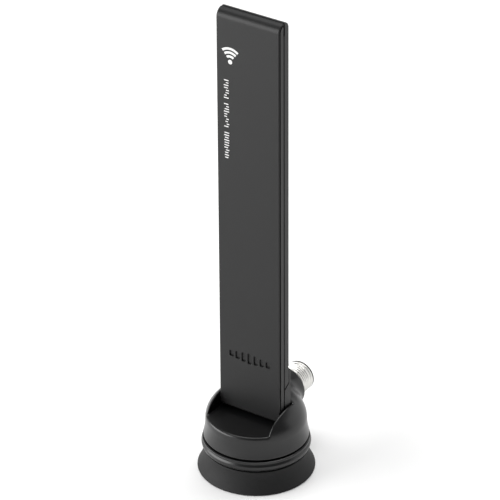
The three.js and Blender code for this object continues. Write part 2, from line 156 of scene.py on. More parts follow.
class AerialStageSettings(bpy.types.PropertyGroup):
    azimuth: FloatProperty(
        name="Azimuth", description="Camera's turn from the front, to the right",
        default=math.radians(33.9), subtype="ANGLE")
    elevation: FloatProperty(
        name="Elevation", description="Camera's height angle", default=math.radians(30.2), subtype="ANGLE")
    roll: FloatProperty(
        name="Roll", description="Camera's roll", default=math.radians(-0.36), subtype="ANGLE")
    distance: length("Distance", "Camera's distance", 1102.7)
    aim_right: length("Aim right", "Aim point to the right of the cup's centre", -1.92)
    aim_up: length("Aim up", "Aim point above the cup's centre", 63.7)
    focal: FloatProperty(name="Lens", description="Focal length in millimetres", default=265.75)
    lights: BoolProperty(name="Lights", description="Add the soft studio lights", default=True)


def settings(group):
    return getattr(bpy.context.scene, f"aerial_{group}")


# ---- node tree helpers ------------------------------------------------------------------------------
def node(tree, kind, inputs=None, **values):
    made = tree.nodes.new(kind)
    for key, value in values.items():
        setattr(made, key, value)
    for key, value in (inputs or {}).items():
        socket = made.inputs[key]
        if isinstance(value, bpy.types.NodeSocket):
            tree.links.new(value, socket)
        else:
            socket.default_value = value
    return made


def math_node(tree, operation, *values, clamp=False):
    made = node(tree, "ShaderNodeMath", operation=operation, use_clamp=clamp)
    for i, value in enumerate(values):
        if isinstance(value, bpy.types.NodeSocket):
            tree.links.new(value, made.inputs[i])
        else:
            made.inputs[i].default_value = value
    return made.outputs[0]


def spread(tree, value, low, high):
    """Maps a 0 to 1 value to a range."""
    made = node(tree, "ShaderNodeMapRange", {"Value": value, "To Min": low, "To Max": high})
    return made.outputs["Result"]


def tint(tree, factor, dark, light):
    made = node(tree, "ShaderNodeMix", data_type="RGBA")
    tree.links.new(factor, made.inputs[0])
    for socket, value in ((made.inputs[6], dark), (made.inputs[7], light)):
        if isinstance(value, bpy.types.NodeSocket):
            tree.links.new(value, socket)
        else:
            socket.default_value = value
    return made.outputs[2]


def shader_group(name, inputs, outputs, fill):
    """A shader node group, built once. fill(tree, given) returns the output sockets by name."""
    if name in bpy.data.node_groups:
        return bpy.data.node_groups[name]
    tree = bpy.data.node_groups.new(name, "ShaderNodeTree")
    for label, kind, default in inputs:
        socket = tree.interface.new_socket(label, in_out="INPUT", socket_type=kind)
        if default is not None:
            socket.default_value = default
    for label, kind in outputs:
        tree.interface.new_socket(label, in_out="OUTPUT", socket_type=kind)
    given = tree.nodes.new("NodeGroupInput").outputs
    end = tree.nodes.new("NodeGroupOutput")
    for label, socket in fill(tree, given).items():
        tree.links.new(socket, end.inputs[label])
    return tree


VECTOR = "NodeSocketVector"
NUMBER = "NodeSocketFloat"
COLOUR = "NodeSocketColor"


def moulded_surface():
    """Spark-eroded mould texture: fine pits, with a slow drift of tone and gloss."""
    def fill(tree, given):
        pits = node(tree, "ShaderNodeTexNoise", {
            "Vector": given["Vector"], "Scale": math_node(tree, "DIVIDE", 1.0, given["Pit Size"]),
            "Detail": 3.0, "Roughness": 0.55})
        drift = node(tree, "ShaderNodeTexNoise", {
            "Vector": given["Vector"], "Scale": math_node(tree, "DIVIDE", 1.0, given["Drift Size"]),
            "Detail": 2.0, "Roughness": 0.5})
        mixed = math_node(tree, "MULTIPLY_ADD", pits.outputs["Fac"], 0.45,
                          math_node(tree, "MULTIPLY", drift.outputs["Fac"], 0.55))
        dark = node(tree, "ShaderNodeHueSaturation", {
            "Color": given["Colour"], "Value": math_node(tree, "SUBTRACT", 1.0, given["Tone Spread"])})
        light = node(tree, "ShaderNodeHueSaturation", {
            "Color": given["Colour"], "Value": math_node(tree, "ADD", 1.0, given["Tone Spread"])})
        half = math_node(tree, "MULTIPLY", given["Gloss Spread"], 0.5)
        low = math_node(tree, "SUBTRACT", given["Roughness"], half)
        high = math_node(tree, "ADD", given["Roughness"], half)
        return {
            "Colour": tint(tree, mixed, dark.outputs["Color"], light.outputs["Color"]),
            "Roughness": spread(tree, mixed, low, high),
            "Height": pits.outputs["Fac"],
        }
    return shader_group(
        "Moulded Surface",
        [("Vector", VECTOR, None), ("Colour", COLOUR, (0.5, 0.5, 0.5, 1)), ("Pit Size", NUMBER, 0.00025),
         ("Drift Size", NUMBER, 0.012), ("Tone Spread", NUMBER, 0.1), ("Roughness", NUMBER, 0.5),
         ("Gloss Spread", NUMBER, 0.08)],
        [("Colour", COLOUR), ("Roughness", NUMBER), ("Height", NUMBER)], fill)


def fine_dust():
    """A thin film of dust that settles on surfaces facing up, in loose specks."""
    def fill(tree, given):
        facing = node(tree, "ShaderNodeSeparateXYZ", {
            "Vector": node(tree, "ShaderNodeTexCoord").outputs["Normal"]})
        upward = math_node(tree, "POWER", math_node(tree, "MAXIMUM", facing.outputs["Z"], 0.0), 2.0)
        specks = node(tree, "ShaderNodeTexNoise", {
            "Vector": given["Vector"], "Scale": 900.0, "Detail": 5.0, "Roughness": 0.7})
        loose = node(tree, "ShaderNodeMapRange", {
            "Value": specks.outputs["Fac"], "From Min": 0.45, "From Max": 0.75})
        film = math_node(tree, "MULTIPLY", math_node(tree, "MULTIPLY", upward, loose.outputs["Result"]),
                         given["Amount"], clamp=True)
        return {
            "Colour": tint(tree, film, given["Colour"], (0.30, 0.29, 0.27, 1)),
            "Roughness": spread(tree, film, given["Roughness"], 0.9),
        }
    return shader_group(
        "Fine Dust",
        [("Vector", VECTOR, None), ("Colour", COLOUR, (0.5, 0.5, 0.5, 1)), ("Roughness", NUMBER, 0.5),
         ("Amount", NUMBER, 0.1)],
        [("Colour", COLOUR), ("Roughness", NUMBER)], fill)


def worked_metal():
    """Drawn or turned metal: fine lines along one axis, and a faint cloudy tarnish."""
    def fill(tree, given):
        stretched = node(tree, "ShaderNodeMapping", {"Vector": given["Vector"], "Scale": given["Stretch"]})
        lines = node(tree, "ShaderNodeTexNoise", {
            "Vector": stretched.outputs["Vector"], "Scale": 900.0, "Detail": 4.0, "Roughness": 0.6})
        clouds = node(tree, "ShaderNodeTexNoise", {
            "Vector": given["Vector"], "Scale": 380.0, "Detail": 3.0, "Roughness": 0.6})
        darker = node(tree, "ShaderNodeHueSaturation", {
            "Color": given["Colour"], "Value": math_node(tree, "SUBTRACT", 1.0, given["Tarnish"])})
        mixed = math_node(tree, "MULTIPLY_ADD", lines.outputs["Fac"], 0.5,
                          math_node(tree, "MULTIPLY", clouds.outputs["Fac"], 0.5))
        high = math_node(tree, "ADD", given["Roughness"], 0.14)
        return {
            "Colour": tint(tree, clouds.outputs["Fac"], given["Colour"], darker.outputs["Color"]),
            "Roughness": spread(tree, mixed, given["Roughness"], high),
            "Height": lines.outputs["Fac"],
        }
    return shader_group(
        "Worked Metal",
        [("Vector", VECTOR, None), ("Colour", COLOUR, (0.5, 0.5, 0.5, 1)), ("Roughness", NUMBER, 0.2),
         ("Tarnish", NUMBER, 0.15), ("Stretch", VECTOR, (1.0, 1.0, 1.0))],
        [("Colour", COLOUR), ("Roughness", NUMBER), ("Height", NUMBER)], fill)


def use_group(tree, group, **inputs):
    made = node(tree, "ShaderNodeGroup", node_tree=group)
    for label, value in inputs.items():
        socket = made.inputs[label.replace("_", " ")]
        if isinstance(value, bpy.types.NodeSocket):
            tree.links.new(value, socket)
        else:
            socket.default_value = value
    return made.outputs


def new_material(name):
    """A new Principled material. Returns it with its tree, its shader and the Object vector."""
    made = bpy.data.materials.new(name)
    made.use_nodes = True
    tree = made.node_tree
    shader = tree.nodes["Principled BSDF"]
    place = node(tree, "ShaderNodeTexCoord").outputs["Object"]
    return made, tree, shader, place


def bump(tree, height, distance, strength=1.0):
    made = node(tree, "ShaderNodeBump", {"Height": height, "Distance": distance, "Strength": strength})
    return made.outputs["Normal"]


def opaque(rgb):
    return (*rgb, 1.0)


# ---- materials --------------------------------------------------------------------------------------
def plastic_material(name, rgb, roughness, pit, pit_depth, gloss=0.08, tone=0.1, dust=0.06, specular=0.5):
    made, tree, shader, place = new_material(name)
    surface = use_group(
        tree, moulded_surface(), Vector=place, Colour=opaque(rgb), Pit_Size=pit, Tone_Spread=tone,
        Roughness=roughness, Gloss_Spread=gloss)
    film = use_group(
        tree, fine_dust(), Vector=place, Colour=surface["Colour"], Roughness=surface["Roughness"],
        Amount=dust)
    tree.links.new(film["Colour"], shader.inputs["Base Color"])
    tree.links.new(film["Roughness"], shader.inputs["Roughness"])
    tree.links.new(bump(tree, surface["Height"], pit_depth), shader.inputs["Normal"])
    shader.inputs["Specular IOR Level"].default_value = specular
    return made


def metal_material(name, rgb, roughness, tarnish=0.12, stretch=(1.0, 1.0, 1.0), line_depth=4e-6):
    made, tree, shader, place = new_material(name)
    surface = use_group(
        tree, worked_metal(), Vector=place, Colour=opaque(rgb), Roughness=roughness, Tarnish=tarnish,
        Stretch=stretch)
    tree.links.new(surface["Colour"], shader.inputs["Base Color"])
    tree.links.new(surface["Roughness"], shader.inputs["Roughness"])
    tree.links.new(bump(tree, surface["Height"], line_depth), shader.inputs["Normal"])
    shader.inputs["Metallic"].default_value = 1.0
    return made


def nickel_material():
    """Bright turned nickel. The thread's roots are darkened partly as tarnish and partly as painted shade, and the
    mouth's rim carries a painted dark reflection with some tarnish.
    """
    made, tree, shader, place = new_material("nickel")
    at = node(tree, "ShaderNodeSeparateXYZ", {"Vector": place}).outputs
    across = math_node(tree, "SUBTRACT", at["X"], JACK_X * MM)
    upward = math_node(tree, "SUBTRACT", at["Z"], JACK_Z * MM)
    radius = math_node(tree, "SQRT", math_node(
        tree, "MULTIPLY_ADD", across, across, math_node(tree, "MULTIPLY", upward, upward)))
    root_radius, crest_radius, rim_inner, rim_outer = 4.38, 4.68, 4.25, 4.45
    # Painted shade with some tarnish darkens the thread's roots, and a painted dark reflection with some tarnish
    # darkens the mouth's rim; both are mixed into the colour.
    root_shade_and_tarnish, shade_and_tarnish_colour = 0.28, (0.025, 0.024, 0.021, 1)
    root = node(tree, "ShaderNodeMapRange", {
        "Value": radius, "From Min": root_radius * MM, "From Max": crest_radius * MM,
        "To Min": root_shade_and_tarnish, "To Max": 0.0},
        interpolation_type="SMOOTHSTEP").outputs["Result"]
    mouth = node(tree, "ShaderNodeMapRange", {
        "Value": at["Y"], "From Min": (JACK.y1 - 0.8) * MM, "From Max": (JACK.y1 - 0.62) * MM},
        interpolation_type="SMOOTHSTEP").outputs["Result"]
    rim = node(tree, "ShaderNodeMapRange", {
        "Value": radius, "From Min": rim_inner * MM, "From Max": rim_outer * MM},
        interpolation_type="SMOOTHSTEP").outputs["Result"]
    mouth = math_node(tree, "MULTIPLY", mouth, rim)
    painted_shade_and_tarnish = math_node(tree, "MAXIMUM", root, mouth)
    surface = use_group(
        tree, worked_metal(), Vector=place, Colour=(0.97, 0.96, 0.93, 1), Roughness=0.34, Tarnish=0.16,
        Stretch=(1.0, 8.0, 1.0))
    shade = tint(tree, painted_shade_and_tarnish, surface["Colour"], shade_and_tarnish_colour)
    tree.links.new(shade, shader.inputs["Base Color"])
    tree.links.new(math_node(tree, "MULTIPLY_ADD", painted_shade_and_tarnish, 0.3, surface["Roughness"]),
                   shader.inputs["Roughness"])
    tree.links.new(bump(tree, surface["Height"], 6e-6), shader.inputs["Normal"])
    # The mouth's rim is made less metallic for its painted dark reflection.
    tree.links.new(math_node(tree, "SUBTRACT", 1.0, mouth), shader.inputs["Metallic"])
    shader.inputs["Specular IOR Level"].default_value = 0.2
    return made


def rubber_material():
    """Moulded rubber: dull, faintly mottled, with a fine grain and the drag lines of the mould."""
    made, tree, shader, place = new_material("cup_rubber")
    surface = use_group(
        tree, moulded_surface(), Vector=place, Colour=opaque(settings("foot").rubber), Pit_Size=0.00045,
        Drift_Size=0.006, Tone_Spread=0.22, Roughness=0.66, Gloss_Spread=0.16)
    film = use_group(
        tree, fine_dust(), Vector=place, Colour=surface["Colour"], Roughness=surface["Roughness"],
        Amount=0.02)
    squeezed = node(tree, "ShaderNodeMapping", {"Vector": place, "Scale": (1.0, 1.0, 14.0)})
    rings = node(tree, "ShaderNodeTexNoise", {
        "Vector": squeezed.outputs["Vector"], "Scale": 60.0, "Detail": 3.0, "Roughness": 0.6})
    height = math_node(tree, "MULTIPLY_ADD", rings.outputs["Fac"], 0.5, surface["Height"])
    tree.links.new(film["Colour"], shader.inputs["Base Color"])
    tree.links.new(film["Roughness"], shader.inputs["Roughness"])
    tree.links.new(bump(tree, height, 3.5e-5), shader.inputs["Normal"])
    shader.inputs["Specular IOR Level"].default_value = 0.35
    return made


def board_material():
    """Lacquered glass-fibre board, with its weave showing through."""
    made, tree, shader, place = new_material("board")
    waves = [
        node(tree, "ShaderNodeTexWave", {"Vector": place, "Scale": 500.0, "Distortion": 1.5, "Detail": 2.0},
             bands_direction=direction).outputs["Fac"]
        for direction in ("X", "Z")]
    weave = math_node(tree, "MULTIPLY", *waves)
    tree.links.new(tint(tree, weave, (0.012, 0.085, 0.04, 1), (0.03, 0.16, 0.08, 1)),
                   shader.inputs["Base Color"])
    tree.links.new(spread(tree, weave, 0.28, 0.42), shader.inputs["Roughness"])
    tree.links.new(bump(tree, weave, 2e-5), shader.inputs["Normal"])
    return made


def fibre_material():
    """Pressed fibre: matted strands of two very dark browns."""
    made, tree, shader, place = new_material("fibre")
    strands = node(tree, "ShaderNodeTexVoronoi", {"Vector": place, "Scale": 1800.0, "Randomness": 1.0})
    clouds = node(tree, "ShaderNodeTexNoise", {"Vector": place, "Scale": 700.0, "Detail": 5.0})
    mixed = math_node(tree, "MULTIPLY", strands.outputs["Distance"], clouds.outputs["Fac"])
    strand_colour = tint(tree, mixed, (0.006, 0.005, 0.005, 1), (0.03, 0.026, 0.024, 1))
    tree.links.new(strand_colour, shader.inputs["Base Color"])
    tree.links.new(spread(tree, mixed, 0.8, 0.95), shader.inputs["Roughness"])
    tree.links.new(bump(tree, clouds.outputs["Fac"], 5e-5), shader.inputs["Normal"])
    return made


def ink_material():
    """Screen-printed white ink, slightly thin and patchy where the screen's mesh left it."""
    made, tree, shader, place = new_material("ink")
    mesh = node(tree, "ShaderNodeTexNoise", {
        "Vector": place, "Scale": 5000.0, "Detail": 3.0, "Roughness": 0.6})
    base = settings("marks").ink
    thin = [0.82 * v for v in base]
    tree.links.new(tint(tree, mesh.outputs["Fac"], opaque(thin), opaque(base)), shader.inputs["Base Color"])
    tree.links.new(spread(tree, mesh.outputs["Fac"], 0.45, 0.62), shader.inputs["Roughness"])
    tree.links.new(bump(tree, mesh.outputs["Fac"], 8e-6), shader.inputs["Normal"])
    return made


LOOKS = {}


def make_looks():
    LOOKS.update({
        "shell_plastic": plastic_material(
            "shell_plastic", settings("paddle").plastic, 0.40, 0.00022, 1.2e-5, dust=0.006,
            specular=0.33),
        "dome_plastic": plastic_material(
            "dome_plastic", settings("turret").plastic, 0.30, 0.0003, 0.5e-5, gloss=0.06, dust=0.004),
        "cup_rubber": rubber_material(),
        "nickel": nickel_material(),
        "steel": metal_material("steel", (0.62, 0.63, 0.64), 0.28, 0.2),
        "brass": metal_material("brass", (0.78, 0.58, 0.27), 0.25, 0.25),
        "copper": metal_material("copper", (0.80, 0.42, 0.27), 0.30, 0.3),
        "solder": metal_material("solder", (0.66, 0.66, 0.67), 0.32, 0.25, line_depth=1.2e-5),
        "board": board_material(),
        "white_plastic": plastic_material("white_plastic", (0.80, 0.79, 0.74), 0.42, 0.0004, 0.8e-5),
        "ceramic": plastic_material("ceramic", (0.42, 0.33, 0.24), 0.45, 0.0002, 1e-5, tone=0.2),
        "fibre": fibre_material(),
        "jacket": plastic_material("jacket", (0.022, 0.02, 0.018), 0.45, 0.0005, 1e-5),
        "ink": ink_material(),
    })


# ---- mesh helpers, in millimetres ---------------------------------------------------------------------
def mesh_object(name, points, faces, sharp_deg=35.0):
    mesh = bpy.data.meshes.new(name)
    mesh.from_pydata([tuple(v * MM for v in point) for point in points], [], faces)
    made = bpy.data.objects.new(name, mesh)
    bpy.context.scene.collection.objects.link(made)
    tidy_mesh(made, sharp_deg)
    return made


def tidy_mesh(made, sharp_deg=35.0):
    """Merges doubles, points the faces out and shades the mesh smooth up to an angle."""
    work = bmesh.new()
    work.from_mesh(made.data)
    bmesh.ops.remove_doubles(work, verts=work.verts, dist=1e-7)
    bmesh.ops.recalc_face_normals(work, faces=work.faces)
    work.to_mesh(made.data)
    work.free()
    made.data.shade_smooth()
    made.data.set_sharp_from_angle(angle=math.radians(sharp_deg))


def settle(made):
    """Turns the modifiers' result into the object's own plain mesh."""
    graph = bpy.context.evaluated_depsgraph_get()
    mesh = bpy.data.meshes.new_from_object(made.evaluated_get(graph))
    made.modifiers.clear()
    made.data = mesh
    return made


def carve(made, *cutters):
    """Cuts the cutters out of a mesh and removes them."""
    for cutter in cutters:
        step = made.modifiers.new("carve", "BOOLEAN")
        step.operation = "DIFFERENCE"
        step.solver = "EXACT"
        step.object = cutter
    settle(made)
    for cutter in cutters:
        bpy.data.objects.remove(cutter)
    return made


def unite(made, other):
    """Fuses another closed piece into this one."""
    step = made.modifiers.new("unite", "BOOLEAN")
    step.operation = "UNION"
    step.solver = "EXACT"
    step.object = other
    settle(made)
    bpy.data.objects.remove(other)
    return made


def round_edges(made, width, segments=3, angle=30.0):
    step = made.modifiers.new("edges", "BEVEL")
    step.width = width * MM
    step.segments = segments
    step.limit_method = "ANGLE"
    step.angle_limit = math.radians(angle)
    step.use_clamp_overlap = True
    return settle(made)


def merge(made, other):
    """Adds another piece's mesh to this one and removes the other object."""
    work = bmesh.new()
    work.from_mesh(made.data)
    work.from_mesh(other.data)
    work.to_mesh(made.data)
    work.free()
    bpy.data.objects.remove(other)
    return made


def soften(made):
    """Keeps flat faces flat and lets the rounded edges carry the shading."""
    step = made.modifiers.new("normals", "WEIGHTED_NORMAL")
    step.keep_sharp = True
    step.weight = 80
    settle(made)


def arc(cx, cy, radius, from_deg, to_deg, steps=12):
    turns = np.radians(np.linspace(from_deg, to_deg, steps + 1))
    return [(cx + radius * math.cos(t), cy + radius * math.sin(t)) for t in turns]


def rounded(corners, steps=5):
    """An outline whose corners (a, b, radius) are rounded. A corner with no radius stays sharp."""
    points = []
    count = len(corners)
    for i, (*here, radius) in enumerate(corners):
        here = Vector(here)
        before = Vector(corners[i - 1][:2]) - here
        after = Vector(corners[(i + 1) % count][:2]) - here
        turn = before.angle(after, math.pi)
        if radius <= 0 or turn > math.radians(179):
            points.append(tuple(here))
            continue
        reach = min(radius / math.tan(turn / 2), before.length * 0.49, after.length * 0.49)
        start, end = here + before.normalized() * reach, here + after.normalized() * reach
        for k in range(steps + 1):
            t = k / steps
            points.append(tuple(start * (1 - t) ** 2 + here * 2 * t * (1 - t) + end * t * t))
    return points


def turned(name, profile, centre, along="Z", sides=144, sharp_deg=35.0):
    """A turned piece from (radius, height) pairs. A ring's profile closes on itself."""
    faces, rings, points = [], [], []
    for radius, height in profile:
        if radius < 1e-6:
            rings.append([len(points)])
            points.append((0.0, 0.0, height))
            continue
        rings.append(list(range(len(points), len(points) + sides)))
        for k in range(sides):
            t = 2 * math.pi * k / sides
            points.append((radius * math.cos(t), radius * math.sin(t), height))
    pairs = list(zip(rings, rings[1:]))
    if profile[0][0] > 1e-6:
        pairs.append((rings[-1], rings[0]))
    for low, high in pairs:
        for k in range(sides):
            n = (k + 1) % sides
            if len(low) == 1 and len(high) == 1:
                continue
            if len(low) == 1:
                faces.append((low[0], high[n], high[k]))
            elif len(high) == 1:
                faces.append((low[k], low[n], high[0]))
            else:
                faces.append((low[k], low[n], high[n], high[k]))
    placed = [lay(point, centre, along) for point in points]
    return mesh_object(name, placed, faces, sharp_deg)


def lay(point, centre, along):
    """Puts a point of a piece turned about Z onto another axis, through a centre."""
    x, y, z = point
    if along == "Y":
        x, y, z = x, z, -y
    elif along == "X":
        x, y, z = z, x, y
    return (x + centre[0], y + centre[1], z + centre[2])


def prism(name, outline, x0, x1):
    """A [y, z] outline drawn from x0 to x1."""
    count = len(outline)
    points = [(x0, y, z) for y, z in outline] + [(x1, y, z) for y, z in outline]
    faces = [tuple(range(count)), tuple(reversed(range(count, 2 * count)))]
    faces += [(k, (k + 1) % count, count + (k + 1) % count, count + k) for k in range(count)]
    return mesh_object(name, points, faces)


def block(name, x0, x1, y0, y1, z0, z1):
    return prism(name, [(y0, z0), (y1, z0), (y1, z1), (y0, z1)], x0, x1)


def put_on(made, body, slot, look, *stands_for):
    """Gives a finished piece its material and its body, and hides the CAD nodes it stands for. The slot argument
    is not used.
    """
    made.data.materials.clear()
    made.data.materials.append(LOOKS[look])
    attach(made, body)
    if stands_for:
        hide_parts(*stands_for)
    return made


# ---- surfaces from a distance rule ----------------------------------------------------------------------
def soft_min(a, b, width):
    share = np.clip(0.5 + 0.5 * (b - a) / width, 0.0, 1.0)
    return b * (1 - share) + a * share - width * share * (1 - share)


def soft_max(a, b, width):
    return -soft_min(-a, -b, width)


def net_surface(name, rule, low, high, step):
    """Meshes the surface where rule(x, y, z) is zero, with one quad per crossed grid edge."""
    axes = [np.arange(a - 2 * step, b + 3 * step, step) for a, b in zip(low, high)]
    grid = np.meshgrid(*axes, indexing="ij")
    value = rule(*grid)
    inside = value < 0
    cells = [n - 1 for n in value.shape]
    count = np.zeros(cells, np.int8)
    for i, j, k in itertools.product((0, 1), repeat=3):
        count += inside[i:i + cells[0], j:j + cells[1], k:k + cells[2]]
    mixed = (count > 0) & (count < 8)
    number = np.full(cells, -1, np.int64)
    number[mixed] = np.arange(mixed.sum())
    corner = np.argwhere(mixed)
    total = np.zeros((len(corner), 3))
    hits = np.zeros((len(corner), 1))
    for axis in range(3):
        others = [a for a in range(3) if a != axis]
        for u, v in itertools.product((0, 1), repeat=2):
            start = corner.copy()
            start[:, others[0]] += u
            start[:, others[1]] += v
            end = start.copy()
            end[:, axis] += 1
            a = value[tuple(start.T)]
            b = value[tuple(end.T)]
            crossed = (a < 0) != (b < 0)
            share = np.where(crossed, a / np.where(crossed, a - b, 1.0), 0.0)
            place = start.astype(float)
            place[:, axis] += share
            total[crossed] += place[crossed]
            hits[crossed] += 1
    points = np.array([a[0] for a in axes]) + total / hits * step
    faces = []
    for axis in range(3):
        u, v = [a for a in range(3) if a != axis]
        near = [slice(None)] * 3
        far = [slice(None)] * 3
        near[axis], far[axis] = slice(None, -1), slice(1, None)
        change = inside[tuple(near)] != inside[tuple(far)]
        edges = np.argwhere(change)
        edges = edges[(edges[:, u] > 0) & (edges[:, v] > 0)]
        quad = []
        for du, dv in ((1, 1), (0, 1), (0, 0), (1, 0)):
            cell = edges.copy()
            cell[:, u] -= du
            cell[:, v] -= dv
            quad.append(number[tuple(cell.T)])
        faces.append(np.stack(quad, axis=1))
    faces = np.concatenate(faces)
    small, passes = 0.02, 4      # each pass moves the points along the rule's slope onto the surface
    for _ in range(passes):
        here = rule(*points.T)
        slope = np.stack([
            (rule(*(points + offset).T) - rule(*(points - offset).T)) / (2 * small)
            for offset in np.eye(3) * small], axis=1)
        size = np.maximum((slope ** 2).sum(1), 0.25)
        move = -(here / size)[:, None] * slope
        points += np.clip(move, -0.3 * step, 0.3 * step)
    made = mesh_object(name, points.tolist(), faces.tolist(), 60.0)
    return made


# Sizes of the dome in millimetres: radii about the cup's axis, heights, and places along the frame's Y.
DOME_SIZES = {
    "skirt": DOME.x1,
    "radius": 15.12,
    "middle": 16.48,
    "wall": 1.6,
    "boss": 6.3,
    "slot_half": FRONT.x1 + 0.3,
    "floor": 18.5,
    "slot_back": AXIS_Y + 2.9,
    "back_wall": 1.2,
}


def revolved(radius, z, base, height):
    """Distance to the dome's skin of that base radius and height, about the cup's axis."""
    middle = DOME_SIZES["middle"]
    rise = z - middle
    reach = np.sqrt((radius / base) ** 2 + (rise / height) ** 2)
    pull = np.sqrt((radius / base ** 2) ** 2 + (rise / height ** 2) ** 2)
    above = reach * (reach - 1) / np.maximum(pull, 1e-6)
    fall = (middle - z) / (middle - DOME.z0)
    below = radius - base - (DOME_SIZES["skirt"] - DOME_SIZES["radius"]) * fall ** 2
    return np.where(z > middle, above, below)


def cylinder_rule(a, b, radius, along, start, end):
    """Rule for a round bar: a and b are measured across it, and along runs from start to end."""
    return np.maximum(np.hypot(a, b) - radius, np.maximum(start - along, along - end))


def dome_rule(x, y, z):
    """Rule for the whole dome: body and boss blended, less the hollow, the slot and the bores."""
    boss_round, skirt_round, post_round, wall_round, slot_round = 0.45, 0.5, 1.3, 0.2, 0.5
    floor_wall, floor_round, post_wall = 1.5, 0.4, 0.2
    edge = settings("turret").edge / MM
    fairing = settings("turret").fairing / MM
    wall = DOME_SIZES["wall"]
    radius = np.hypot(x, y - AXIS_Y)
    height = DOME.z1 - DOME_SIZES["middle"]
    body = soft_max(revolved(radius, z, DOME_SIZES["radius"], height), DOME.z0 - z, skirt_round)
    boss = np.hypot(x - JACK_X, z - JACK_Z) - DOME_SIZES["boss"]
    boss = soft_max(boss, y - DOME.y1, boss_round)
    boss = np.maximum(boss, AXIS_Y + 5 - y)
    body = soft_min(body, boss, fairing)
    hollow = np.maximum(revolved(radius, z, DOME_SIZES["radius"] - wall, height - wall), DOME.z0 - 1 - z)
    back = DOME_SIZES["slot_back"] + DOME_SIZES["back_wall"]
    under_slot = np.maximum(y - back, DOME_SIZES["floor"] - floor_wall - z)
    hollow = soft_max(hollow, -under_slot, floor_round)
    for screw in BASE_SCREWS:
        cx, cy = (screw.x0 + screw.x1) / 2, (screw.y0 + screw.y1) / 2
        post_radius = (screw.x1 - screw.x0) / 2 + post_wall
        post = cylinder_rule(x - cx, y - cy, post_radius, z, PLATE.z1 + 0.3, DOME.z1)
        hollow = soft_max(hollow, -post, post_round)
    solid = soft_max(body, -hollow, wall_round)
    side = np.abs(x) - DOME_SIZES["slot_half"]
    slot = soft_max(side, DOME_SIZES["floor"] - z, slot_round)
    slot = soft_max(slot, y - DOME_SIZES["slot_back"], slot_round)
    solid = soft_max(solid, -slot, edge)
    for cut in dome_bores(x, y, z, back):
        solid = np.maximum(solid, -cut)
    return solid


def dome_bores(x, y, z, back):
    """The jack's stepped bore, the lead's hole, the hinge's recesses and the screws' holes."""
    boss_inner = DOME_SIZES["boss"] - 1.0
    flange_seat, shank_way, lead_way = 5.5, 3.7, 1.0
    # The recess is narrower than the friction washer, so the washer reaches a little into the ear.
    washer_recess, pin_way, screw_way = 1.5, 0.98, 1.2
    jx, jz = x - JACK_X, z - JACK_Z
    yield cylinder_rule(jx, jz, flange_seat, y, AXIS_Y + 15.1, DOME.y1 + 2)
    yield cylinder_rule(jx, jz, shank_way, y, AXIS_Y + 10, DOME.y1)
    yield cylinder_rule(jx, jz, boss_inner, y, back + 0.3, AXIS_Y + 13.3)
    yield cylinder_rule(x, z - LEAD_Z, lead_way, y, AXIS_Y + 1, back + 1)
    across = np.abs(x)
    half = DOME_SIZES["slot_half"]
    hy, hz = y - HINGE_Y, z - HINGE_Z
    yield cylinder_rule(hy, hz, washer_recess, across, half - 0.5, half + 0.5)
    yield cylinder_rule(hy, hz, pin_way, across, half - 0.5, half + 1.9)
    for screw in BASE_SCREWS:
        cx, cy = (screw.x0 + screw.x1) / 2, (screw.y0 + screw.y1) / 2
        yield cylinder_rule(x - cx, y - cy, screw_way, z, PLATE.z1, screw.z1 + 0.3)


# ---- geometry nodes ---------------------------------------------------------------------------------
def geometry_tree(name, inputs):
    tree = bpy.data.node_groups.new(name, "GeometryNodeTree")
    tree.interface.new_socket("Geometry", in_out="OUTPUT", socket_type="NodeSocketGeometry")
    tree.interface.new_socket("Geometry", in_out="INPUT", socket_type="NodeSocketGeometry")
    for label, kind in inputs:
        tree.interface.new_socket(label, in_out="INPUT", socket_type=kind)
    return tree, tree.nodes.new("NodeGroupInput").outputs, tree.nodes.new("NodeGroupOutput")


def finish_tree(tree, end, instances, material):
    real = node(tree, "GeometryNodeRealizeInstances", {"Geometry": instances})
    painted = node(tree, "GeometryNodeSetMaterial", {"Geometry": real.outputs[0], "Material": material})
    tree.links.new(painted.outputs[0], end.inputs[0])
    return tree


def copies_tree():
    """Copies one piece onto each point of a mesh, scaled by the points' stretch."""
    name = "Copies On Points"
    if name in bpy.data.node_groups:
        return bpy.data.node_groups[name]
    tree, given, end = geometry_tree(
        name, [("Piece", "NodeSocketObject"), ("Finish", "NodeSocketMaterial")])
    source = node(tree, "GeometryNodeObjectInfo", {"Object": given["Piece"]})
    stretch = node(tree, "GeometryNodeInputNamedAttribute", {"Name": "stretch"}, data_type="FLOAT_VECTOR")
    copies = node(tree, "GeometryNodeInstanceOnPoints", {
        "Points": given["Geometry"], "Instance": source.outputs["Geometry"],
        "Scale": stretch.outputs["Attribute"]})
    return finish_tree(tree, end, copies.outputs[0], given["Finish"])


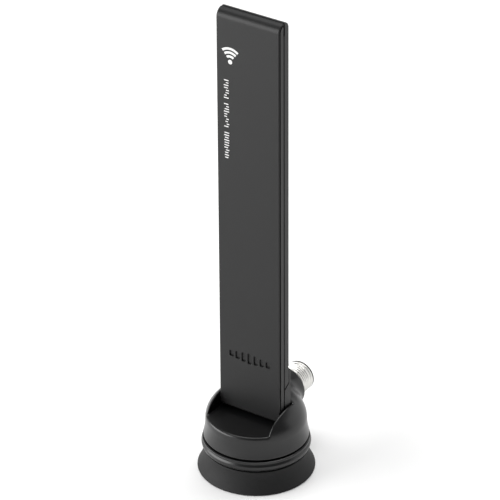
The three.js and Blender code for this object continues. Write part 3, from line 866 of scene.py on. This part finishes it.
def tick_tree():
    """A row of flat ticks going down from the object's origin, of random lengths."""
    name = "Tick Row"
    if name in bpy.data.node_groups:
        return bpy.data.node_groups[name]
    number, whole = "NodeSocketFloat", "NodeSocketInt"
    tree, given, end = geometry_tree(name, [
        ("Count", whole), ("Pitch", number), ("Short", number), ("Long", number), ("Stroke", number),
        ("Film", number), ("Seed", whole), ("Finish", "NodeSocketMaterial")])
    down = math_node(tree, "MULTIPLY", given["Pitch"], -1.0)
    step = node(tree, "ShaderNodeCombineXYZ", {"Z": down})
    line = node(tree, "GeometryNodeMeshLine", {"Count": given["Count"], "Offset": step.outputs[0]})
    reach = node(tree, "FunctionNodeRandomValue", data_type="FLOAT")
    tree.links.new(given["Short"], reach.inputs[2])
    tree.links.new(given["Long"], reach.inputs[3])
    tree.links.new(given["Seed"], reach.inputs["Seed"])
    size = node(tree, "ShaderNodeCombineXYZ", {
        "X": reach.outputs[1], "Y": given["Film"], "Z": given["Stroke"]})
    unit = node(tree, "GeometryNodeMeshCube", {"Size": (1.0, 1.0, 1.0)})
    lean = node(tree, "FunctionNodeRandomValue", data_type="FLOAT")
    tree.links.new(math_node(tree, "ADD", given["Seed"], 50.0), lean.inputs["Seed"])
    slack = math_node(tree, "SUBTRACT", given["Long"], reach.outputs[1])
    aside = math_node(tree, "MULTIPLY", slack, math_node(tree, "SUBTRACT", lean.outputs[1], 0.5))
    moved = node(tree, "GeometryNodeSetPosition", {
        "Geometry": line.outputs[0],
        "Offset": node(tree, "ShaderNodeCombineXYZ", {"X": aside}).outputs[0]})
    copies = node(tree, "GeometryNodeInstanceOnPoints", {
        "Points": moved.outputs[0], "Instance": unit.outputs[0], "Scale": size.outputs[0]})
    return finish_tree(tree, end, copies.outputs[0], given["Finish"])


def run_tree(made, tree, **inputs):
    """Runs a geometry tree on an object with named inputs and keeps the result as a plain mesh."""
    step = made.modifiers.new(tree.name, "NODES")
    step.node_group = tree
    identifiers = {
        item.name: item.identifier for item in tree.interface.items_tree
        if getattr(item, "in_out", "") == "INPUT"}
    for label, value in inputs.items():
        step[identifiers[label]] = value
    made.update_tag()
    return settle(made)


def copies(name, piece, places, stretches, look):
    """Copies of a piece at places in millimetres. The source piece is removed afterwards."""
    mesh = bpy.data.meshes.new(name)
    mesh.from_pydata([tuple(v * MM for v in place) for place in places], [], [])
    attribute = mesh.attributes.new("stretch", "FLOAT_VECTOR", "POINT")
    for item, stretch in zip(attribute.data, stretches):
        item.vector = stretch
    made = bpy.data.objects.new(name, mesh)
    bpy.context.scene.collection.objects.link(made)
    run_tree(made, copies_tree(), Piece=piece, Finish=LOOKS[look])
    bpy.data.objects.remove(piece)
    return made


# ---- the foot ---------------------------------------------------------------------------------------
class AERIAL_OT_suction_cup(bpy.types.Operator):
    """Make the rubber suction cup, with the stud's pocket set from how far the foot presses down"""
    bl_idname = "aerial.suction_cup"
    bl_label = "Suction Cup"

    def execute(self, context):
        lip = settings("foot").lip / MM
        rim = CUP.x1
        top = CUP.z1
        neck = 15.6
        stud = (STUD.x1 - STUD.x0) / 2
        keep = (top - PRESS) / top
        pocket_floor = (STUD.z0 - PRESS - 0.1) / keep
        roof = 0.65
        deep = pocket_floor - roof
        hollow_rim, hollow_end, hollow_power = 16.3, 16.2, 0.85
        hollow = [(r, deep * (1 - (r / hollow_rim) ** 2) ** hollow_power)
                  for r in np.linspace(0, hollow_end, 24)]
        edge = arc(rim - lip / 2, lip / 2, lip / 2, -90, 60, 8)
        flare = []
        flare_power = 1.7
        for t in np.linspace(0.06, 1.0, 22):
            reach = rim - 0.1 - (rim - 0.1 - neck) * (1 - (1 - t) ** flare_power)
            flare.append((reach, lip + (top - 0.35 - lip) * t))
        shoulder = rounded([(neck, top - 0.4, 0), (neck - 0.05, top, 0.3), (neck - 1.0, top, 0)], 4)
        shank, pocket_top, pocket_reach = 1.8, 6.3, stud + 0.3
        pocket = [
            (shank, top), (shank, pocket_top), (pocket_reach, pocket_top),
            (pocket_reach, pocket_floor), (0, pocket_floor)]
        profile = hollow + edge + flare + shoulder[1:] + pocket
        cup = turned("suction_cup_rubber", profile, (0, AXIS_Y, 0), sides=160, sharp_deg=50)
        put_on(cup, "cup", "cup_rubber", "cup_rubber", "suction_cup")
        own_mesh(cup)
        return {"FINISHED"}


class AERIAL_OT_collar(bpy.types.Operator):
    """Make the collar ring between the cup and the dome, with its thin upper ridge"""
    bl_idname = "aerial.collar"
    bl_label = "Collar Ring"

    def execute(self, context):
        ridge = settings("foot").ridge / MM
        low, high, reach = RING.z0, RING.z1, RING.x1
        bore = HUB.x1 + 0.3
        profile = rounded([
            (bore, low, 0.2), (reach - 0.95, low, 0.3), (reach - 0.35, low + 0.5, 0.5),
            (reach, low + 1.3, 0.8), (reach - 0.02, high - ridge - 0.95, 0.5),
            (reach - 0.42, high - ridge - 0.32, 0.15), (reach - 0.36, high - ridge - 0.15, 0.1),
            (reach - 0.30, high - 0.45, 0.2), (reach - 0.72, high - 0.22, 0.2),
            (bore + 1.2, high - 0.1, 0.3), (bore, high, 0.2)], 5)
        ring = turned("collar_ring_skin", profile, (0, AXIS_Y, 0), sides=160)
        put_on(ring, "foot", "dome_plastic", "dome_plastic", "collar_ring")
        return {"FINISHED"}


# ---- the turret -------------------------------------------------------------------------------------
class AERIAL_OT_dome(bpy.types.Operator):
    """Make the dome with its slot, ears and jack boss as one softly blended shell"""
    bl_idname = "aerial.dome"
    bl_label = "Dome Housing"

    def execute(self, context):
        step = settings("turret").detail / MM
        low = (DOME.x0, DOME.y0, DOME.z0)
        high = (DOME.x1, DOME.y1, DOME.z1)
        dome = net_surface("dome_shell", dome_rule, low, high, step)
        put_on(dome, "turret", "dome_plastic", "dome_plastic", "dome_housing")
        return {"FINISHED"}


def thread_profile(phase):
    """Depth share of a thread at a phase from 0 to 1: flat crest, sloped flanks and a narrow root."""
    ramp = np.abs(((phase % 1.0) - 0.5) * 2)
    return np.clip((ramp - 0.1) / 0.45, 0, 1)


class AERIAL_OT_jack(bpy.types.Operator):
    """Make the threaded coaxial jack with its collar, lead-in and white core"""
    bl_idname = "aerial.jack"
    bl_label = "Jack"

    def execute(self, context):
        self.body()
        self.core()
        return {"FINISHED"}

    def body(self):
        pitch = settings("turret").thread_pitch / MM
        depth = settings("turret").thread_depth / MM
        sides = 128
        radius = 4.75
        collar_face = AXIS_Y + 16.9
        groove, nose_length = 0.4, 1.25
        start, end = collar_face + 0.35, JACK.y1 - nose_length - groove
        steps = int((end - start) / (pitch / 12))
        rings = []
        bore, shank_radius, collar_radius, mouth_radius = 2.5, 3.4, 5.4, 3.6
        collar_back, core_seat = AXIS_Y + 15.4, AXIS_Y + 17.5
        shank = rounded([
            (bore, JACK.y0, 0), (shank_radius, JACK.y0, 0.15), (shank_radius, collar_back, 0),
            (collar_radius, collar_back, 0.2), (collar_radius, collar_face, 0.25),
            (radius - depth, collar_face, 0)], 4)
        rings += [np.array([(r, y)] * sides) for r, y in shank]
        turn = np.arange(sides) / sides
        for y in np.linspace(start, end, steps):
            fade = min(1.0, (y - start) / pitch, (end - y) / (0.6 * pitch) + 0.05)
            cut = thread_profile((y - start) / pitch - turn)
            r = radius - depth * (1 - cut * max(fade, 0.0))
            rings.append(np.stack([r, np.full(sides, y)], axis=1))
        nose = rounded([
            (radius - depth, end, 0), (radius - depth, end + groove - 0.1, 0.05),
            (radius - 0.05, end + groove + 0.1, 0.1), (radius - 0.05, JACK.y1, 0.35),
            (mouth_radius, JACK.y1, 0.25), (mouth_radius, core_seat, 0), (bore, core_seat, 0)], 5)
        rings += [np.array([(r, y)] * sides) for r, y in nose[1:]]
        points, faces = [], []
        for ring in rings:
            for k, (r, y) in enumerate(ring):
                t = 2 * math.pi * k / sides
                points.append((JACK_X + r * math.cos(t), y, JACK_Z + r * math.sin(t)))
        count = len(rings)
        for i in range(count):
            n = (i + 1) % count
            for k in range(sides):
                m = (k + 1) % sides
                faces.append((i * sides + k, i * sides + m, n * sides + m, n * sides + k))
        body = mesh_object("jack_shell", points, faces, 40)
        put_on(body, "turret", "nickel", "nickel", "jack_body")

    def core(self):
        face = CORE.y1
        profile = rounded([
            (1.6, CORE.y0, 0), (2.2, CORE.y0, 0.1), (2.2, AXIS_Y + 17.8, 0), (3.3, AXIS_Y + 17.8, 0),
            (3.3, face, 0.2), (1.75, face, 0.1), (1.5, face - 0.35, 0.1), (0.9, face - 0.35, 0.15),
            (0.75, face - 0.9, 0), (1.6, face - 0.9, 0)], 4)
        core = turned("jack_core", profile, (JACK_X, 0, JACK_Z), "Y", sides=72)
        put_on(core, "turret", "white_plastic", "white_plastic", "jack_insulator")


# ---- the paddle -------------------------------------------------------------------------------------
PARTING_Y = AXIS_Y - 0.7
FRONT_BACK = PARTING_Y - 0.15
PRY_TOP = FRONT.z1 - 0.4
PRY_HEIGHT = 3.7


def pry_cutters():
    """The slots at the top of the parting line where the shells are prised apart."""
    deep = FRONT.x1 - 0.6
    outline = rounded([
        (PARTING_Y - 0.35, PRY_TOP - PRY_HEIGHT, 0.25), (PARTING_Y + 0.35, PRY_TOP - PRY_HEIGHT, 0.25),
        (PARTING_Y + 0.35, PRY_TOP, 0.25), (PARTING_Y - 0.35, PRY_TOP, 0.25)], 4)
    return [prism("pry_right", outline, deep, deep + 2), prism("pry_left", outline, -deep - 2, -deep)]


def turned_cutter(name, radius, along, start, end, centre, sides=32):
    profile = [(0, start), (radius, start), (radius, end), (0, end)]
    return turned(name, profile, centre, along, sides)


def bar_places():
    """Centres and heights of the sunk bars on the paddle's foot: tallest in the middle."""
    count = settings("marks").bars
    pitch, low, high = 2.12, 1.9, 3.5
    middle = (count - 1) / 2
    for i in range(count):
        away = abs(i - middle) / max(middle, 1)
        yield (i - middle) * pitch + 0.1, high - (high - low) * away


class AERIAL_OT_front_shell(bpy.types.Operator):
    """Make the paddle's front shell with its knuckle, sunk bars and pry slots"""
    bl_idname = "aerial.front_shell"
    bl_label = "Front Shell"

    def execute(self, context):
        wall = settings("paddle").wall / MM
        rear = FRONT_BACK
        knuckle = HINGE_Z - FRONT.z0
        top_round = rear - FRONT.y0
        rear_deg = math.degrees(math.acos((rear - HINGE_Y) / knuckle))
        front_deg = -180 + math.degrees(math.acos((HINGE_Y - FRONT.y0) / knuckle))
        outline = arc(FRONT.y0 + top_round, FRONT.z1 - top_round, top_round, 180, 90, 16)
        outline += arc(HINGE_Y, HINGE_Z, knuckle, rear_deg, front_deg, 28)
        shell = prism("front_shell_skin", outline[::-1], FRONT.x0, FRONT.x1)
        round_edges(shell, settings("paddle").edge / MM, 4)
        half = FRONT.x1 - wall
        hollow_floor, hollow_top = 30, FRONT.z1 - 1.4
        cutters = [block("hollow", -half, half, FRONT.y0 + wall, PARTING_Y + 2, hollow_floor, hollow_top)]
        cutters += pry_cutters()
        cutters += self.seam_cutters(top_round)
        bore_start, bore_end, bore_radius = 6.3, 12, 1.2
        for side in (-1, 1):
            near, far = sorted((side * bore_start, side * bore_end))
            cutters.append(turned_cutter("pin_bore", bore_radius, "X", near, far, (0, HINGE_Y, HINGE_Z)))
        carve(shell, *cutters)
        carve(shell, self.bar_cutter())
        tidy_mesh(shell, 28)
        soften(shell)
        put_on(shell, "paddle", "shell_plastic", "shell_plastic", "front_shell")
        return {"FINISHED"}

    def seam_cutters(self, top_round):
        """The seam in each side face that follows the front cover's edge up and over the top."""
        inset, deep = settings("paddle").edge / MM, 0.5
        width = settings("paddle").seam / MM
        middle = (FRONT.y0 + top_round, FRONT.z1 - top_round)
        foot = HINGE_Z + 2.5
        outline = arc(*middle, top_round - inset, 100, 180, 14) + [(FRONT.y0 + inset, foot)]
        outline += [(FRONT.y0 + inset + width, foot)]
        outline += arc(*middle, top_round - inset - width, 180, 100, 14)
        edge = FRONT.x1 - deep
        return [prism("seam_right", outline, edge, edge + 2), prism("seam_left", outline, -edge - 2, -edge)]

    def bar_cutter(self):
        """Rounded bars, copied along the foot, that are cut out of the front face."""
        depth = settings("marks").depth / MM
        width, half_height, squareness = 1.5, 0.5, 0.45
        steps = 12
        outline = [(width / 2 * math.cos(t), half_height * math.sin(t))
                   for t in np.linspace(0, 2 * math.pi, 4 * steps, endpoint=False)]
        square = [(math.copysign(abs(a / (width / 2)) ** squareness * width / 2, a),
                   math.copysign(abs(b / half_height) ** squareness * half_height, b)) for a, b in outline]
        count = len(square)
        points = []
        for y, grow in ((-0.3, 0.36), (0.15, 0.0), (depth, 0.0)):
            points += [(x * (1 + 2 * grow / width), y, z * (1 + 0.7 * grow)) for x, z in square]
        faces = [tuple(range(count)), tuple(reversed(range(2 * count, 3 * count)))]
        faces += [(k, m, n + m, n + k) if n == count else (count + k, count + m, n + m, n + k)
                  for n in (count, 2 * count) for k, m in ((k, (k + 1) % count) for k in range(count))]
        bar = mesh_object("bar", points, faces)
        bars = list(bar_places())
        row_height = 19.4
        places = [(x, FRONT.y0, FRONT.z0 + row_height) for x, _ in bars]
        stretches = [(1, 1, height) for _, height in bars]
        return copies("bars", bar, places, stretches, "shell_plastic")


class AERIAL_OT_rear_shell(bpy.types.Operator):
    """Make the paddle's rear shell"""
    bl_idname = "aerial.rear_shell"
    bl_label = "Rear Shell"

    def execute(self, context):
        wall = settings("paddle").wall / MM
        top_round = REAR.y1 - REAR.y0
        outline = [(REAR.y0, REAR.z0), (REAR.y1, REAR.z0 + 1.4)]
        outline += arc(REAR.y1 - top_round, REAR.z1 - top_round, top_round, 0, 90, 16)
        shell = prism("rear_shell_skin", outline, REAR.x0, REAR.x1)
        round_edges(shell, settings("paddle").edge / MM, 4)
        half = REAR.x1 - wall
        inside = REAR.y1 - wall
        cutters = [
            block("hollow", -half, half, REAR.y0 - 2, inside, REAR.z0 + 2.6, REAR.z1 - 1.4),
            block("lead_way", -1.2, 1.2, REAR.y0 - 2, inside + 0.8, REAR.z0 - 1, REAR.z0 + 4)]
        carve(shell, *cutters, *pry_cutters())
        tidy_mesh(shell, 28)
        soften(shell)
        merge(shell, self.lip(half - 0.05))
        put_on(shell, "paddle", "shell_plastic", "shell_plastic", "rear_shell")
        return {"FINISHED"}

    def lip(self, half):
        """The thin lip inside the parting line, which keeps dust and light out of the paddle."""
        low, high = REAR.z0 + 2.65, REAR.z1 - 1.45
        thick = 0.3
        lip = block("lip", -half, half, PARTING_Y - 0.5, PARTING_Y + 1.2, low, high)
        carve(lip, block("lip_inside", thick - half, half - thick, PARTING_Y - 2, PARTING_Y + 2,
                         low - 1, high - thick))
        return round_edges(lip, 0.06, 2)


class AERIAL_OT_neck(bpy.types.Operator):
    """Make the neck bracket and the two screws that hold it to the front shell"""
    bl_idname = "aerial.neck"
    bl_label = "Neck And Screws"

    def execute(self, context):
        seat = REAR.y1 + 0.12
        outline = rounded([
            (NECK.y0, REAR.z0 - 0.4, 0), (NECK.y0, NECK.z0, 0), (NECK.y1, NECK.z0, 0.3),
            (NECK.y1, NECK.z1, 0.25), (seat, NECK.z1, 0.1), (seat, REAR.z0 + 1.1, 0)], 4)
        neck = prism("neck_bracket_skin", outline, NECK.x0, NECK.x1)
        round_edges(neck, 0.25, 3)
        pad = block("pad", NECK.x0 + 1.1, NECK.x1 - 1.1, FRONT_BACK + 0.01, NECK.y0 + 0.4, NECK.z0 + 0.4,
                    REAR.z0 - 0.5)
        unite(neck, pad)
        cutters = [
            turned_cutter("knuckle_way", HINGE_Z - FRONT.z0 + 0.3, "X", -20, 20, (0, HINGE_Y, HINGE_Z), 64),
            block("lead_way", -1.1, 1.1, NECK.y0 - 1, AXIS_Y + 1.35, NECK.z0 - 1, REAR.z0 + 3),
            turned_cutter("lead_hole", 1.0, "Y", AXIS_Y, AXIS_Y + 4, (0, 0, LEAD_Z))]
        for screw in NECK_SCREWS:
            cx, cz = (screw.x0 + screw.x1) / 2, (screw.z0 + screw.z1) / 2
            head = (screw.x1 - screw.x0) / 2 + 0.3
            cutters.append(turned_cutter("seat", head, "Y", AXIS_Y + 1.2, AXIS_Y + 4, (cx, 0, cz), 48))
            cutters.append(turned_cutter("shank_way", 1.2, "Y", AXIS_Y - 1, AXIS_Y + 2, (cx, 0, cz), 32))
        carve(neck, *cutters)
        tidy_mesh(neck, 28)
        soften(neck)
        put_on(neck, "paddle", "shell_plastic", "shell_plastic", "neck_bracket")
        self.screws()
        return {"FINISHED"}

    def screws(self):
        """One cross-recessed pan head, copied to each place."""
        first = NECK_SCREWS[0]
        head = (first.x1 - first.x0) / 2
        face = first.y1
        seat = face - 0.8
        profile = [(0, first.y0), (0.3, first.y0), (0.9, first.y0 + 0.7)]
        pitch, crest, root = 0.8, 0.9, 0.66
        y = first.y0 + 0.8
        while y < seat - pitch:
            profile += [
                (crest, y), (root, y + 0.3 * pitch), (root, y + 0.5 * pitch), (crest, y + 0.8 * pitch)]
            y += pitch
        profile += [(root, seat), (head - 0.05, seat)]
        profile += [(head * math.cos(t), face - 0.62 + 0.62 * math.sin(t))
                    for t in np.linspace(0, math.pi / 2, 9)[:-1]] + [(0, face)]
        screw = turned("screw", [(r, y - face) for r, y in profile], (0, 0, 0), "Y", sides=40)
        arm, thin, deep = 1.05, 0.2, 0.55
        carve(screw, block("cross_a", -arm, arm, -deep, 1, -thin, thin),
              block("cross_b", -thin, thin, -deep, 1, -arm, arm))
        tidy_mesh(screw, 35)
        places = [((s.x0 + s.x1) / 2, face, (s.z0 + s.z1) / 2) for s in NECK_SCREWS]
        both = copies("neck_screws", screw, places, [(1, 1, 1)] * len(places), "steel")
        put_on(both, "paddle", "steel", "steel", "neck_screw_left", "neck_screw_right")


class AERIAL_OT_lead_bend(bpy.types.Operator):
    """Make the short bend of the lead that crosses the hinge between dome and paddle"""
    bl_idname = "aerial.lead_bend"
    bl_label = "Lead Bend"

    def execute(self, context):
        start, end = LOWER_LEAD.y0 + 0.4, LEAD.y1 - 0.4
        radius = (LEAD.x1 - LEAD.x0) / 2
        ribs, rib_depth, steps = 9, 0.09, 6
        profile = [(0, start), (radius - 0.12, start)]
        for step in range(ribs * steps + 1):
            share = step / (ribs * steps)
            dip = rib_depth * (0.5 - 0.5 * math.cos(2 * math.pi * ribs * share))
            profile.append((radius - dip, start + 0.06 + (end - start - 0.12) * share))
        profile += [(radius - 0.12, end), (0, end)]
        bend = turned("lead_bend", profile, (0, 0, LEAD_Z), "Y", sides=24)
        bend.data.materials.append(LOOKS["jacket"])
        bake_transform(bend)
        return {"FINISHED"}


# ---- printed marks ----------------------------------------------------------------------------------
MARK_LEFT = FRONT.x0 + 1.95


class AERIAL_OT_marks(bpy.types.Operator):
    """Print the plain wave sign and the tick scale on the paddle's front face"""
    bl_idname = "aerial.marks"
    bl_label = "Printed Marks"

    def execute(self, context):
        self.wave_sign()
        top = FRONT.z1 - 21.6
        rows = ((0, 8), (7.6, 10), (16.8, 11))
        for number, (drop, count) in enumerate(rows, 1):
            self.tick_row(f"tick_row_{number}", top - drop, count, number)
        return {"FINISHED"}

    def wave_sign(self):
        """A dot under three arcs."""
        film = settings("marks").film / MM
        centre = (MARK_LEFT + 2.7, FRONT.z1 - 15.5)
        half_fan, stroke = 39, 0.72
        outlines = [arc(*centre, 0.7, 0, 345, 23)]
        for radius in (1.75, 2.95, 4.15):
            outer = arc(*centre, radius + stroke / 2, 90 + half_fan, 90 - half_fan, 20)
            inner = arc(*centre, radius - stroke / 2, 90 - half_fan, 90 + half_fan, 20)
            outlines.append(outer + inner)
        points, faces = [], []
        for outline in outlines:
            first, count = len(points), len(outline)
            points += [(x, FRONT.y0 - film, z) for x, z in outline]
            points += [(x, FRONT.y0 + film, z) for x, z in outline]
            faces.append(tuple(range(first, first + count)))
            faces.append(tuple(reversed(range(first + count, first + 2 * count))))
            for k in range(count):
                n = (k + 1) % count
                faces.append((first + k, first + n, first + count + n, first + count + k))
        sign = mesh_object("wave_sign", points, faces)
        put_on(sign, "paddle", "shell_plastic", "ink")

    def tick_row(self, name, top, count, number):
        marks = settings("marks")
        made = bpy.data.objects.new(name, bpy.data.meshes.new(name))
        bpy.context.scene.collection.objects.link(made)
        run_tree(made, tick_tree(), Count=count, Pitch=marks.pitch, Short=0.75 * MM, Long=1.75 * MM,
                 Stroke=marks.stroke, Film=2 * marks.film, Seed=marks.seed + number, Finish=LOOKS["ink"])
        place = Vector((MARK_LEFT + 1.3, FRONT.y0, top)) * MM
        made.data.transform(Matrix.Translation(place))
        tidy_mesh(made)
        put_on(made, "paddle", "shell_plastic", "ink")


# ---- carried-over parts -----------------------------------------------------------------------------
class AERIAL_OT_finishes(bpy.types.Operator):
    """Give every part that keeps its own shape the finish of its material slot"""
    bl_idname = "aerial.finishes"
    bl_label = "Finishes"

    def execute(self, context):
        for part in frame["record"]["subparts"]:
            mesh = frame["nodes"][part["node"]].data
            mesh.materials.clear()
            mesh.materials.append(LOOKS[part["material_slot"]])
        return {"FINISHED"}


# ---- the stage --------------------------------------------------------------------------------------
def aim(made, place, target):
    made.location = place
    made.rotation_euler = (Vector(target) - Vector(place)).to_track_quat("-Z", "Y").to_euler()


class AERIAL_OT_stage(bpy.types.Operator):
    """Make the pale floor, the soft studio lights and the camera"""
    bl_idname = "aerial.stage"
    bl_label = "Stage"

    def execute(self, context):
        self.floor()
        self.sky()
        if settings("stage").lights:
            self.softboxes()
        self.camera()
        context.scene.view_settings.view_transform = "Standard"
        return {"FINISHED"}

    def floor(self):
        reach = 4000
        floor = mesh_object("floor", [
            (-reach, -reach, -0.05), (reach, -reach, -0.05), (reach, reach, -0.05), (-reach, reach, -0.05)],
            [(0, 1, 2, 3)])
        made, tree, shader, place = new_material("pale_floor")
        paper = node(tree, "ShaderNodeTexNoise", {"Vector": place, "Scale": 40.0, "Detail": 3.0})
        tree.links.new(tint(tree, paper.outputs["Fac"], (0.93, 0.93, 0.925, 1), (0.95, 0.95, 0.95, 1)),
                       shader.inputs["Base Color"])
        shader.inputs["Roughness"].default_value = 0.9
        shader.inputs["Specular IOR Level"].default_value = 0.1
        floor.data.materials.append(made)

    def sky(self):
        world = bpy.data.worlds.new("studio")
        world.use_nodes = True
        background = world.node_tree.nodes["Background"]
        background.inputs["Color"].default_value = (1.0, 1.0, 1.0, 1)
        background.inputs["Strength"].default_value = 0.2
        bpy.context.scene.world = world

    def softboxes(self):
        boxes = (
            ("left_softbox", (-434, -364, 210), (700, 400), 4.8),
            ("top_softbox", (0, 260, 860), (600, 600), 4.5),
            ("fill_softbox", (-150, 40, 880), (600, 600), 2.25),
            ("back_softbox", (420, 560, 225), (900, 440), 1.2),
        )
        target = Vector((0, AXIS_Y, 45)) * MM
        for name, place, size, power in boxes:
            light = bpy.data.lights.new(name, "AREA")
            light.shape = "RECTANGLE"
            light.size, light.size_y = (v * MM for v in size)
            light.energy = power
            made = bpy.data.objects.new(name, light)
            bpy.context.scene.collection.objects.link(made)
            aim(made, Vector(place) * MM, target)

    def camera(self):
        stage = settings("stage")
        turn, rise = stage.azimuth, stage.elevation
        right = Vector((math.cos(turn), math.sin(turn), 0))
        back = Vector((math.sin(turn) * math.cos(rise), -math.cos(turn) * math.cos(rise), math.sin(rise)))
        up = back.cross(right)
        right, up = (right * math.cos(stage.roll) + up * math.sin(stage.roll),
                     up * math.cos(stage.roll) - right * math.sin(stage.roll))
        lens = bpy.data.cameras.new("camera")
        lens.sensor_width = 36.0
        lens.lens = stage.focal
        lens.clip_start, lens.clip_end = 0.05, 20.0
        camera = bpy.data.objects.new("camera", lens)
        bpy.context.scene.collection.objects.link(camera)
        place = Vector((0, AXIS_Y * MM, 0)) + right * stage.aim_right + up * stage.aim_up
        place += back * stage.distance
        turned_to = Matrix((right, up, back)).transposed().to_4x4()
        camera.matrix_world = Matrix.Translation(place) @ turned_to
        bpy.context.scene.camera = camera


# ---- panel and registration -------------------------------------------------------------------------
PIECES = (
    AERIAL_OT_finishes,
    AERIAL_OT_suction_cup,
    AERIAL_OT_collar,
    AERIAL_OT_dome,
    AERIAL_OT_jack,
    AERIAL_OT_front_shell,
    AERIAL_OT_rear_shell,
    AERIAL_OT_neck,
    AERIAL_OT_lead_bend,
    AERIAL_OT_marks,
    AERIAL_OT_stage,
)
GROUPS = {
    "foot": AerialFootSettings,
    "turret": AerialTurretSettings,
    "paddle": AerialPaddleSettings,
    "marks": AerialMarkSettings,
    "stage": AerialStageSettings,
}


class AERIAL_PT_panel(bpy.types.Panel):
    """Lists the aerial's pieces and settings"""
    bl_idname = "AERIAL_PT_panel"
    bl_label = "Aerial"
    bl_space_type = "VIEW_3D"
    bl_region_type = "UI"
    bl_category = "Aerial"

    def draw(self, context):
        for operator in PIECES:
            self.layout.operator(operator.bl_idname)
        for name, group in GROUPS.items():
            column = self.layout.column()
            column.label(text=name.title())
            for item in group.__annotations__:
                column.prop(settings(name), item)


def register():
    for group in GROUPS.values():
        bpy.utils.register_class(group)
    for name, group in GROUPS.items():
        setattr(bpy.types.Scene, f"aerial_{name}", PointerProperty(type=group))
    for operator in PIECES:
        bpy.utils.register_class(operator)
    bpy.utils.register_class(AERIAL_PT_panel)


def unregister():
    bpy.utils.unregister_class(AERIAL_PT_panel)
    for operator in reversed(PIECES):
        bpy.utils.unregister_class(operator)
    for name, group in GROUPS.items():
        delattr(bpy.types.Scene, f"aerial_{name}")
        bpy.utils.unregister_class(group)


def main():
    register()
    make_looks()
    for operator in PIECES:
        module, name = operator.bl_idname.split(".")
        getattr(getattr(bpy.ops, module), name)()


if __name__ == "__main__":
    main()
